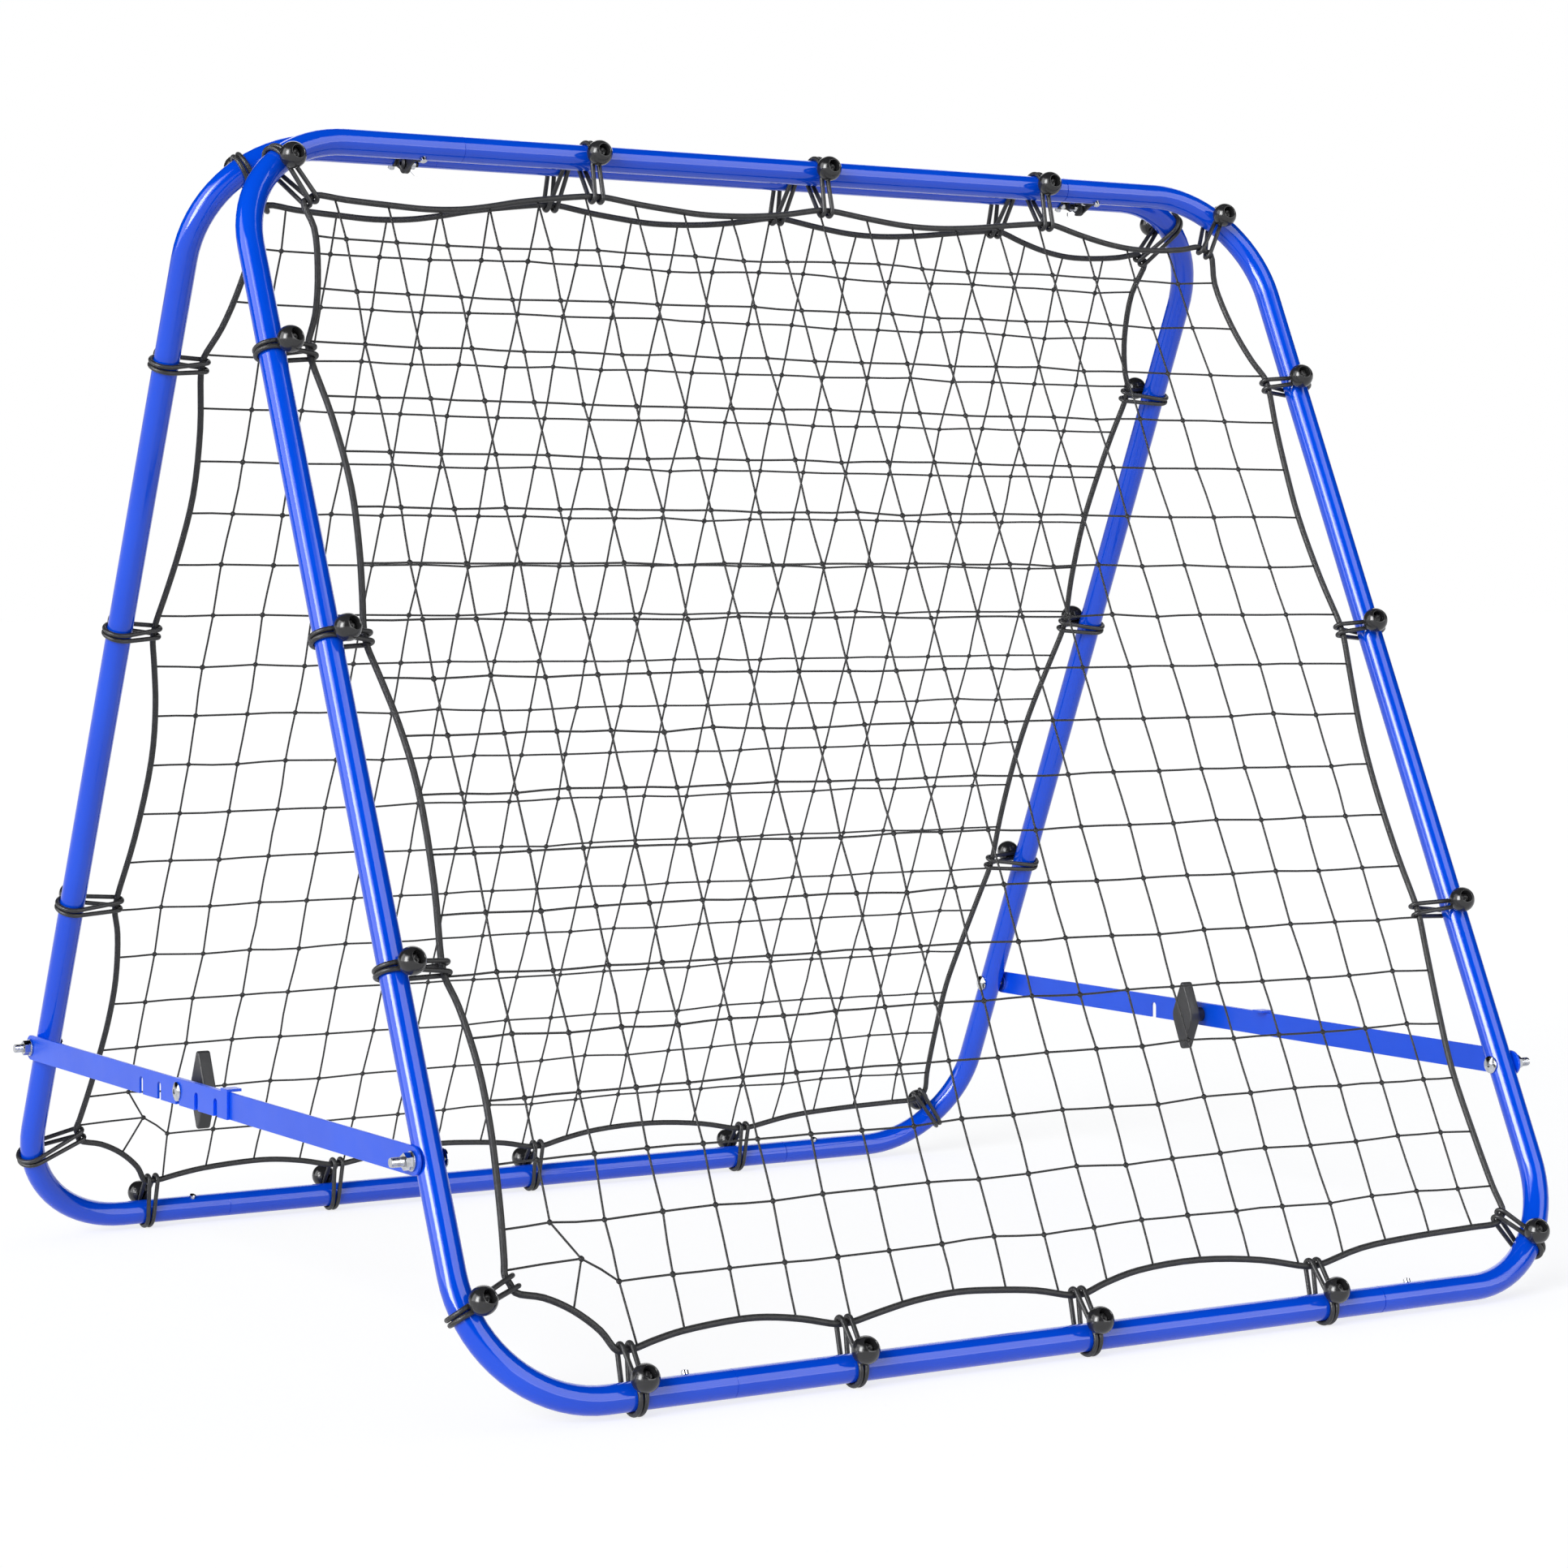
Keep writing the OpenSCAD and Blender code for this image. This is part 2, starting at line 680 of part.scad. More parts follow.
// Places YZ shapes on the fold axis, extruded outward by thick from x
module on_hinge(x, thick) {
  translate([x, 0, hinge_z]) rotate([90, 0, 90]) linear_extrude(height = thick) children();
}

// Half of a clip, on the front tube, with its ear outward from x and its screw hole
module clip_half(x) {
  difference() {
    union() {
      on_hinge(clip_x - clip_w / 2, clip_w) saddle_shape();
      on_hinge(x, ear_t) ear_shape();
    }
    at_clip_screw() screw_bore();
  }
}

module front_clip() {
  clip_half(front_ear_x);
}

module rear_clip() {
  mirror([0, 1, 0]) clip_half(rear_ear_x);
}

// Puts a piece drawn along +Z on the front top tube's centre, pointing inward and down
module at_clip_screw() {
  translate([screw_x, -clip_y, top_z]) rotate([screw_turn, 0, 0]) children();
}

module screw_bore() {
  cylinder(r = screw_d / 2 + fit / 2, h = 2 * tube_d);
}

// Screw drawn along +Z from the tube's centre, head outward
module clip_screw() {
  head_from = saddle_r + saddle_t + seat;
  translate([0, 0, screw_tip]) cylinder(d = screw_d, h = head_from + 0.5 - screw_tip);
  translate([0, 0, head_from]) cylinder(r = screw_head_r, h = screw_head_h);
}

module clip_screws() {
  both_sides() at_clip_screw() clip_screw();
}

module clip_bolt() {
  head_seat = clip_x + clip_w / 2 + seat;
  tip = rear_ear_x - seat - wing_h + 2;
  translate([tip, 0, hinge_z]) along_x() cylinder(d = clip_bolt_d, h = head_seat - tip);
  translate([head_seat, 0, hinge_z]) along_x() domed_head(clip_head_d, clip_head_h, 4.6);
}

// Wing nut drawn along -X from the rear ear
module wing_nut() {
  translate([rear_ear_x - seat, 0, hinge_z]) rotate([0, -90, 0]) difference() {
    union() {
      cylinder(r = wing_hub_r, h = 6);
      rotate([90, 0, 0]) linear_extrude(height = wing_t, center = true)
        for (s = [0, 1]) mirror([s, 0])
          difference() {
            polygon([[0, 1], [wing_hub_r, 1], [wing_span / 2, wing_h - 5], [wing_span / 2, wing_h - 1],
                     [wing_span / 2 - 1, wing_h], [wing_span / 2 - 4, wing_h], [wing_hub_r - 0.5, 6], [0, 6]]);
            translate([wing_span / 2 + 2, 0]) circle(r = 5);
          }
    }
    translate([0, 0, -1]) cylinder(r = clip_bolt_d / 2 + fit, h = wing_h + 2);
  }
}

// ---- Sub-parts ----

module front_left_side_tube() {
  color("royalblue") front_frame() mirror([1, 0, 0]) side_tube();
}

module front_right_side_tube() {
  color("royalblue") front_frame() side_tube();
}

module front_top_tube() {
  color("royalblue") front_frame() top_tube();
}

module front_bottom_tube() {
  color("royalblue") front_frame() bottom_tube();
}

module rear_left_side_tube() {
  color("royalblue") rear_frame() mirror([1, 0, 0]) side_tube();
}

module rear_right_side_tube() {
  color("royalblue") rear_frame() side_tube();
}

module rear_top_tube() {
  color("royalblue") rear_frame() top_tube();
}

module rear_bottom_tube() {
  color("royalblue") rear_frame() bottom_tube();
}

// The button of one seam: side is -1 on the left and 1 on the right
module top_button(side) {
  translate([side * button_x, tube_l, 0]) rotate([90, 0, 0]) button();
}

module bottom_button(side) {
  translate([side * button_x, 0, 0]) rotate([-90, 0, 0]) button();
}

module front_top_left_button() {
  color("silver") front_frame() top_button(-1);
}

module front_top_right_button() {
  color("silver") front_frame() top_button(1);
}

module front_bottom_left_button() {
  color("silver") front_frame() bottom_button(-1);
}

module front_bottom_right_button() {
  color("silver") front_frame() bottom_button(1);
}

module rear_top_left_button() {
  color("silver") rear_frame() top_button(-1);
}

module rear_top_right_button() {
  color("silver") rear_frame() top_button(1);
}

module rear_bottom_left_button() {
  color("silver") rear_frame() bottom_button(-1);
}

module rear_bottom_right_button() {
  color("silver") rear_frame() bottom_button(1);
}

module front_button_springs() {
  color("gray") front_frame() button_springs();
}

module rear_button_springs() {
  color("gray") rear_frame() button_springs();
}

module front_net() {
  color([0.1, 0.1, 0.1]) front_frame() net();
}

module front_border_rope() {
  color([0.15, 0.15, 0.16]) front_frame() border_rope();
}

module front_bungee_cords() {
  color([0.2, 0.2, 0.2]) front_frame() bungee_cords();
}

module front_bungee_balls() {
  color([0.3, 0.3, 0.3]) front_frame() bungee_balls();
}

module rear_net() {
  color([0.1, 0.1, 0.1]) rear_frame() net();
}

module rear_border_rope() {
  color([0.15, 0.15, 0.16]) rear_frame() border_rope();
}

module rear_bungee_cords() {
  color([0.2, 0.2, 0.2]) rear_frame() bungee_cords();
}

module rear_bungee_balls() {
  color([0.3, 0.3, 0.3]) rear_frame() bungee_balls();
}

module left_notched_bar() {
  color("cornflowerblue") mirror([1, 0, 0]) notched_bar();
}

module right_notched_bar() {
  color("cornflowerblue") notched_bar();
}

module left_plain_bar() {
  color("cornflowerblue") mirror([1, 0, 0]) plain_bar();
}

module right_plain_bar() {
  color("cornflowerblue") plain_bar();
}

module left_clamp_bolt() {
  color("silver") mirror([1, 0, 0]) clamp_bolt();
}

module right_clamp_bolt() {
  color("silver") clamp_bolt();
}

module left_knob() {
  color([0.2, 0.2, 0.2]) mirror([1, 0, 0]) knob();
}

module right_knob() {
  color([0.2, 0.2, 0.2]) knob();
}

module left_knob_insert() {
  color("gold") mirror([1, 0, 0]) knob_insert();
}

module right_knob_insert() {
  color("gold") knob_insert();
}

module front_pivot_bolts() {
  color("silver") both_sides() pivot_bolt();
}

module front_pivot_nuts() {
  color("silver") both_sides() pivot_nut(plain_x + bar_t);
}

module rear_pivot_bolts() {
  color("silver") both_sides() mirror([0, 1, 0]) pivot_bolt();
}

module rear_pivot_nuts() {
  color("silver") both_sides() mirror([0, 1, 0]) pivot_nut(notched_x + bar_t);
}

module rear_pivot_spacers() {
  color("silver") both_sides() mirror([0, 1, 0]) pivot_spacer();
}

module left_front_clip() {
  color([0.2, 0.2, 0.2]) mirror([1, 0, 0]) front_clip();
}

module right_front_clip() {
  color([0.2, 0.2, 0.2]) front_clip();
}

module left_rear_clip() {
  color([0.2, 0.2, 0.2]) mirror([1, 0, 0]) rear_clip();
}

module right_rear_clip() {
  color([0.2, 0.2, 0.2]) rear_clip();
}

module clip_bolts() {
  color("silver") both_sides() clip_bolt();
}

module left_wing_nut() {
  color("silver") mirror([1, 0, 0]) wing_nut();
}

module right_wing_nut() {
  color("silver") wing_nut();
}

module front_clip_screws() {
  color("silver") clip_screws();
}

module rear_clip_screws() {
  color("silver") mirror([0, 1, 0]) clip_screws();
}

front_left_side_tube();
front_right_side_tube();
front_top_tube();
front_bottom_tube();
rear_left_side_tube();
rear_right_side_tube();
rear_top_tube();
rear_bottom_tube();
front_top_left_button();
front_top_right_button();
front_bottom_left_button();
front_bottom_right_button();
rear_top_left_button();
rear_top_right_button();
rear_bottom_left_button();
rear_bottom_right_button();
front_button_springs();
rear_button_springs();
front_net();
front_border_rope();
front_bungee_cords();
front_bungee_balls();
rear_net();
rear_border_rope();
rear_bungee_cords();
rear_bungee_balls();
left_notched_bar();
right_notched_bar();
left_plain_bar();
right_plain_bar();
left_clamp_bolt();
right_clamp_bolt();
left_knob();
right_knob();
left_knob_insert();
right_knob_insert();
front_pivot_bolts();
front_pivot_nuts();
rear_pivot_bolts();
rear_pivot_nuts();
rear_pivot_spacers();
left_front_clip();
right_front_clip();
left_rear_clip();
right_rear_clip();
clip_bolts();
left_wing_nut();
right_wing_nut();
front_clip_screws();
rear_clip_screws();
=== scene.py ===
"""Looks of the pitch back rebounder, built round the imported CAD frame.

Lengths are in mm until they reach Blender, which has metres.
"""

import json
import math
import random
from collections import namedtuple

import bmesh
import bpy
import numpy as np
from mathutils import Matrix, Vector

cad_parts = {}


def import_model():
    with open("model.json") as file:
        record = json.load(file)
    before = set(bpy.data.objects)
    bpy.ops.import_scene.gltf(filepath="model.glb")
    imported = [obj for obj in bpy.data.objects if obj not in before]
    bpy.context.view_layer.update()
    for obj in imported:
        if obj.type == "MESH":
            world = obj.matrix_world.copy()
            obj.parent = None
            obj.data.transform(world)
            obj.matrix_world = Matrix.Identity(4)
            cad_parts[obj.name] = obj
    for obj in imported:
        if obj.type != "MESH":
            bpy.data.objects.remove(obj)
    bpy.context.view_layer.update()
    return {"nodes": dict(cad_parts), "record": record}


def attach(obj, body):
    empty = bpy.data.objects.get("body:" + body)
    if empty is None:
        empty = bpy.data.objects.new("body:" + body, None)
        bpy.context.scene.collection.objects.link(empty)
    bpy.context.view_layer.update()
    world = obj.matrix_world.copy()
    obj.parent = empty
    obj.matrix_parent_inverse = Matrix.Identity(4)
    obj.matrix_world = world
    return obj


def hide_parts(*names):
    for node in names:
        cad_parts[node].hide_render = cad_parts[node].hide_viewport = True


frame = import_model()
MM = 0.001

# ---- The CAD model's own sizes, repeated in mm ----

# Frames: half the width and the length up the slope between tube centres, and their distance at the top
HALF_W = 587.5
TUBE_L = 1195.0
TOP_SPACING = 58.0
LEAN = math.radians(25)
TUBE_R = 12.5
BEND_R = 117.0

# Cord diameters, and the gap between pieces that seat on each other
CORD_D = 4.5
ROPE_D = 6.0
STRAND_D = 2.0
SEAT = 0.3

# The bottom tubes: how far they stand from the middle, and how high, on the bungee cords
FOOT_Y = TUBE_L * math.sin(LEAN) + TOP_SPACING / 2
FOOT_Z = TUBE_R + SEAT + CORD_D

# Bungees: the cord's bends round tube and rope, its two strands, their stems and the ball with its mouth
WRAP_R = TUBE_R + SEAT + CORD_D / 2
HOOK_R = ROPE_D / 2 + SEAT + CORD_D / 2
STRAND_GAP = CORD_D + SEAT
SPLAY = math.radians(2)
STEM_R = CORD_D / 2 - 0.15
STEM_X = 2.6
BALL_R = 12.5
BALL_Z = TUBE_R + SEAT + BALL_R
CHANNEL_TOP = WRAP_R + CORD_D / 2 + SEAT
MOUTH_R = 6.0
MOUTH_FROM = -1.0

# Pivot bolts and the height of the brace bars
PIVOT_H = 195.0
BAR_Z = FOOT_Z + PIVOT_H
PIVOT_Y = FOOT_Y - PIVOT_H * math.tan(LEAN)
BOLT_R = 4.0
BOLT_TIP = 623.0

# Clamp knob: its seat on the bar, half its length and width, its thickness, half its flats, boss and insert
KNOB_X, KNOB_Y = 586.0, 53.0
KNOB_HALF_L, KNOB_HALF_W, KNOB_T = 36.5, 17.0, 12.5
KNOB_END_FLAT, KNOB_SIDE_FLAT = 2.5, 3.5
BOSS_R, BOSS_L = 7.75, 14.0
INSERT_R, INSERT_L = 6.075, 20.0

# Sides of everything turned
ROUND = 48

# A bungee: its place on the tube's centre line, its direction to the rope and how far off the rope is
Hook = namedtuple("Hook", "at toward reach")


def bend_hook(side, up, angle, turn, reach):
    """A corner bungee at an angle of its bend, turned a little from the bend's own radius."""
    a, b = math.radians(angle), math.radians(angle + turn)
    centre = (side * (HALF_W - BEND_R), TUBE_L - BEND_R if up > 0 else BEND_R)
    at = (centre[0] + side * BEND_R * math.cos(a), centre[1] + up * BEND_R * math.sin(a))
    return Hook(at, (-side * math.cos(b), -up * math.sin(b)), reach)


# Height and reach of the bungees on a side tube, from the top
SIDE_HOOKS = ((970, 37.0), (687, 36.0), (380, 47.0))

# Every bungee of a frame, clockwise from the top left one
HOOKS = (
    [Hook((u, TUBE_L), (0, -1), 43.0) for u in (-214, 47.5, 318.5)]
    + [bend_hook(1, 1, 51, 6.5, 45.0)]
    + [Hook((HALF_W, y), (-1, 0), reach) for y, reach in SIDE_HOOKS]
    + [bend_hook(1, -1, 45, 5, 38.0)]
    + [Hook((u, 0), (0, 1), 39.0) for u in (288, 18, -229, -444)]
    + [bend_hook(-1, -1, 16, 7, 50.0)]
    + [Hook((-HALF_W, y), (1, 0), reach) for y, reach in reversed(SIDE_HOOKS)]
    + [bend_hook(-1, 1, 51, 6.5, 45.0)]
)

# Where the border rope runs between each bungee and the next, clockwise from the top left one
SPANS = [
    [(-167, 1146), (-133, 1142), (-100, 1139), (-67, 1139), (-33, 1141), (0, 1145)],
    [(100, 1145), (140, 1140), (177, 1139), (223, 1142), (273, 1148)],
    [(357, 1142), (390, 1133), (423, 1128), (457, 1128), (490, 1131)],
    [(520, 1090), (526, 1040), (539, 1000)],
    [(545, 920), (541, 870), (539, 815), (544, 745)],
    [(545, 635), (537, 575), (534, 515), (536, 440)],
    [(536, 335), (528, 265), (524, 215), (527, 145), (531, 95)],
    [(490, 57), (420, 55), (350, 50)],
    [(230, 50), (160, 57), (90, 54), (50, 46)],
    [(-25, 47), (-70, 52), (-107, 54), (-153, 51), (-195, 44)],
    [(-270, 47), (-303, 52), (-330, 53), (-387, 49), (-415, 44)],
    [(-463, 57), (-485, 77), (-509, 90)],
    [(-538, 124), (-533, 161), (-529, 200), (-526, 240), (-526, 290), (-533, 345)],
    [(-533, 455), (-530, 545), (-536, 605), (-545, 650)],
    [(-546, 730), (-540, 775), (-536, 835), (-541, 905)],
    [(-537, 1010), (-526, 1055), (-521, 1100)],
    [(-483, 1132), (-440, 1129), (-400, 1127), (-363, 1129), (-333, 1134), (-300, 1141), (-262, 1147)],
]


def place(front, x, y, z=0.0):
    """A point of a frame drawn flat (X across, Y up the slope, Z outward), in metres where it stands."""
    depth = -FOOT_Y + y * math.sin(LEAN) - z * math.cos(LEAN)
    height = FOOT_Z + y * math.cos(LEAN) + z * math.sin(LEAN)
    return Vector((x, depth if front else -depth, height)) * MM


# ---- Materials ----


def linear(r, g, b):
    """An sRGB colour given as 0-255, as linear numbers."""
    shares = [c / 255 for c in (r, g, b)]
    return [c / 12.92 if c < 0.04045 else ((c + 0.055) / 1.055) ** 2.4 for c in shares] + [1.0]


class Nodes:
    """Short ways to add and join the nodes of one node tree."""

    def __init__(self, tree):
        self.tree = tree

    def node(self, kind, **values):
        n = self.tree.nodes.new("ShaderNode" + kind)
        for k, v in values.items():
            setattr(n, k, v)
        return n

    def link(self, out, into):
        self.tree.links.new(out, into)

    def math(self, op, a, b=0.0, c=0.0):
        n = self.node("Math", operation=op)
        for i, v in enumerate((a, b, c)):
            if isinstance(v, (int, float)):
                n.inputs[i].default_value = v
            else:
                self.link(v, n.inputs[i])
        return n.outputs[0]

    def coords(self, what="Object"):
        return self.node("TexCoord").outputs[what]

    def spread(self, value, lo, hi, from_lo, from_hi, kind="LINEAR"):
        """A value that runs from from_lo to from_hi, made to run from lo to hi."""
        n = self.node("MapRange", interpolation_type=kind)
        for k, v in zip(("From Min", "From Max", "To Min", "To Max"), (from_lo, from_hi, lo, hi)):
            n.inputs[k].default_value = v
        self.link(value, n.inputs["Value"])
        return n.outputs[0]


# Most values of a noise texture lie between these
NOISE_LOW, NOISE_HIGH = 0.3, 0.7


class Look(Nodes):
    """A procedural material under construction."""

    def __init__(self, name):
        self.mat = bpy.data.materials.new(name)
        self.mat.use_nodes = True
        super().__init__(self.mat.node_tree)
        self.shader = self.tree.nodes["Principled BSDF"]

    def set(self, **values):
        for k, v in values.items():
            self.shader.inputs[k.replace("_", " ")].default_value = v
        return self

    def noise(self, scale, detail=2.0, stretch=(1, 1, 1)):
        m = self.node("Mapping")
        m.inputs["Scale"].default_value = stretch
        self.link(self.coords(), m.inputs["Vector"])
        n = self.node("TexNoise")
        n.inputs["Scale"].default_value = scale
        n.inputs["Detail"].default_value = detail
        self.link(m.outputs[0], n.inputs["Vector"])
        return n.outputs["Fac"]

    def colour(self, value, dark, light):
        n = self.node("ValToRGB")
        low, high = n.color_ramp.elements
        low.position, high.position = NOISE_LOW, NOISE_HIGH
        low.color, high.color = linear(*dark), linear(*light)
        self.link(value, n.inputs[0])
        self.link(n.outputs[0], self.shader.inputs["Base Color"])

    def rough(self, value, lo, hi):
        self.link(self.spread(value, lo, hi, NOISE_LOW, NOISE_HIGH), self.shader.inputs["Roughness"])

    def bump(self, height, strength, distance):
        n = self.node("Bump")
        n.inputs["Strength"].default_value = strength
        n.inputs["Distance"].default_value = distance
        self.link(height, n.inputs["Height"])
        self.link(n.outputs[0], self.shader.inputs["Normal"])

    def around_and_along(self, around, along):
        """Angles that count round a cord and along it, from its UV."""
        sep = self.node("SeparateXYZ")
        self.link(self.coords("UV"), sep.inputs[0])
        a = self.math("MULTIPLY", sep.outputs[1], around * math.tau)
        return a, self.math("MULTIPLY", sep.outputs[0], along * math.tau)

    def braid(self, around, along):
        """Height of a braided sheath from UV: V runs round the cord, U along it in cord widths."""
        a, b = self.around_and_along(around, along)
        one = self.math("SINE", self.math("ADD", a, b))
        return self.math("MAXIMUM", one, self.math("SINE", self.math("SUBTRACT", a, b)))

    def twist(self, plies, along):
        """Height of a twisted cord from UV."""
        return self.math("SINE", self.math("ADD", *self.around_and_along(plies, along)))


def painted(name, dark, light, lo, hi):
    """Gloss paint; lo and hi are its least and greatest roughness, here and below."""
    m = Look(name)
    m.colour(m.noise(9.0, 3.0), dark, light)
    m.rough(m.noise(40.0, 3.0), lo, hi)
    return m.set(IOR=1.5).mat


def plated(name, dark, light, lo, hi):
    """Bare or plated metal with faint lengthwise marks."""
    m = Look(name)
    m.colour(m.noise(260.0, 3.0), dark, light)
    m.rough(m.noise(156.0), lo, hi)
    m.bump(m.noise(1040.0, stretch=(1, 1, 0.2)), 0.06, 0.1 * MM)
    return m.set(Metallic=1.0).mat


def moulded(name, dark, light, lo, hi, grain, strength):
    """Plastic with a moulded grain."""
    m = Look(name)
    m.colour(m.noise(60.0, 3.0), dark, light)
    m.rough(m.noise(120.0), lo, hi)
    m.bump(m.noise(grain, 3.0), strength, 0.2 * MM)
    return m.mat


def corded(name, dark, light, weave, strength, lo, hi, sheen):
    """Twisted or braided cord; weave gives the height of its threads, and its colour carries painted shade:
    lighter on their crowns, darker in the grooves between them.
    """
    m = Look(name)
    height = weave(m)
    fuzz = m.math("MULTIPLY", m.noise(1800.0), 0.3)
    # Painted shade: the threads' height lightens their crowns and darkens the grooves between them
    m.colour(m.math("ADD", m.math("MULTIPLY", height, 0.16), m.noise(140.0)), dark, light)
    m.rough(m.noise(300.0), lo, hi)
    m.bump(m.math("ADD", height, fuzz), strength, 0.3 * MM)
    return m.set(Sheen_Weight=sheen, Sheen_Roughness=0.5).mat


def braided(m):
    return m.braid(6, 1.6)


def twisted(m):
    return m.twist(2, 0.5)


LOOKS = {
    "blue_tube": painted("blue_tube", (0, 74, 220), (3, 81, 230), 0.08, 0.11),
    "blue_bar": painted("blue_bar", (2, 78, 224), (6, 85, 234), 0.3, 0.36),
    "chromed_steel": plated("chromed_steel", (172, 174, 178), (206, 208, 212), 0.1, 0.18),
    "black_steel": plated("black_steel", (44, 44, 46), (62, 62, 64), 0.28, 0.4),
    "spring_steel": plated("spring_steel", (120, 124, 130), (160, 164, 170), 0.25, 0.4),
    "insert_brass": plated("insert_brass", (190, 150, 70), (215, 178, 96), 0.22, 0.35),
    "net_strand": corded("net_strand", (14, 14, 15), (28, 28, 29), twisted, 0.2, 0.5, 0.65, 0.02),
    "border_rope": corded("border_rope", (24, 24, 25), (38, 38, 39), braided, 0.15, 0.5, 0.62, 0.03),
    "elastic_cord": corded("elastic_cord", (28, 28, 29), (44, 44, 45), braided, 0.1, 0.38, 0.5, 0.03),
    "ball_plastic": moulded("ball_plastic", (36, 36, 37), (46, 46, 47), 0.14, 0.2, 900.0, 0.03),
    "knob_plastic": moulded("knob_plastic", (40, 40, 41), (52, 52, 53), 0.42, 0.55, 2600.0, 0.22),
    "clip_plastic": moulded("clip_plastic", (26, 26, 27), (38, 38, 39), 0.34, 0.46, 2600.0, 0.2),
}

# Material slot by the end of a node's name; what isn't listed is chromed steel
SLOT_OF = {
    "side_tube": "blue_tube",
    "top_tube": "blue_tube",
    "bottom_tube": "blue_tube",
    "notched_bar": "blue_bar",
    "plain_bar": "blue_bar",
    "button_springs": "spring_steel",
    "knob_insert": "insert_brass",
    "knob": "knob_plastic",
    "front_clip": "clip_plastic",
    "rear_clip": "clip_plastic",
    "clip_bolts": "black_steel",
    "net": "net_strand",
    "border_rope": "border_rope",
    "bungee_cords": "elastic_cord",
    "bungee_balls": "ball_plastic",
}


def slot_of(node):
    for ending, slot in SLOT_OF.items():
        if node.endswith(ending):
            return slot
    return "chromed_steel"


# Broken edges by the end of a node's name, in mm
EDGES = {
    "side_tube": 0.6,
    "top_tube": 0.6,
    "bottom_tube": 0.6,
    "_bar": 0.5,
    "_clip": 0.45,
    "pivot_nuts": 0.35,
    "wing_nut": 0.45,
}
# These have room for the full width at every edge
ROOMY = ("top_tube", "bottom_tube")


def break_edges(obj, width, clamped):
    """Rounds the sharp edges of a CAD node and keeps its flat and round faces true."""
    weld = obj.modifiers.new("weld", "WELD")
    weld.merge_threshold = 0.002 * MM
    flat = obj.modifiers.new("flat", "DECIMATE")
    flat.decimate_type = "DISSOLVE"
    flat.angle_limit = math.radians(0.5)
    edge = obj.modifiers.new("edges", "BEVEL")
    edge.width = width * MM
    edge.segments = 3
    edge.limit_method = "ANGLE"
    edge.angle_limit = math.radians(35)
    edge.harden_normals = True
    edge.use_clamp_overlap = clamped
    even = obj.modifiers.new("even", "WEIGHTED_NORMAL")
    even.mode = "FACE_AREA_WITH_ANGLE"
    even.keep_sharp = True


def dress_nodes():
    """Gives every CAD node its material, and broken edges where it has any."""
    for name, obj in frame["nodes"].items():
        obj.data.materials.clear()
        obj.data.materials.append(LOOKS[slot_of(name)])
        for ending, width in EDGES.items():
            if name.endswith(ending):
                break_edges(obj, width, ending not in ROOMY)


dress_nodes()


# ---- Mesh helpers ----


def piece(name, mesh, body, slot, *nodes, sharp=None):
    """A piece on a body, in place of the nodes named; edges over sharp degrees stay crisp."""
    obj = bpy.data.objects.new(name, mesh)
    bpy.context.scene.collection.objects.link(obj)
    mesh.materials.append(LOOKS[slot])
    mesh.shade_smooth()
    if sharp:
        mesh.set_sharp_from_angle(angle=math.radians(sharp))
    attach(obj, body)
    if nodes:
        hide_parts(*nodes)


def on_frame(front, name, mesh, slot, node, sharp=None):
    """A piece that rides on the front or rear frame, in place of one of its nodes."""
    side = "front" if front else "rear"
    piece(f"{side}_{name}", mesh, f"{side}_frame", slot, f"{side}_{node}", sharp=sharp)


def body_of(node):
    bodies = frame["record"]["behaviour"]["bodies"]
    return next(body for body, nodes in bodies.items() if node in nodes)


def face_outward(mesh):
    bm = bmesh.new()
    bm.from_mesh(mesh)
    bmesh.ops.recalc_face_normals(bm, faces=bm.faces)
    bm.to_mesh(mesh)
    bm.free()


def directions(points, closed):
    """Direction of a line at each of its points."""
    n = len(points)
    out = []
    for i in range(n):
        before = points[(i - 1) % n] if closed or i else points[i]
        after = points[(i + 1) % n] if closed or i < n - 1 else points[i]
        out.append((after - before).normalized())
    return out


def carried_normals(along, closed):
    """A normal at each point, carried on without twist, and the twist left over where the line closes."""
    normals = [along[0].orthogonal().normalized()]
    for before, here in zip(along, along[1:]):
        carried = before.rotation_difference(here) @ normals[-1]
        normals.append((carried - here * carried.dot(here)).normalized())
    if not closed:
        return normals, 0.0
    back = along[-1].rotation_difference(along[0]) @ normals[-1]
    return normals, math.atan2(back.dot(along[0].cross(normals[0])), back.dot(normals[0]))


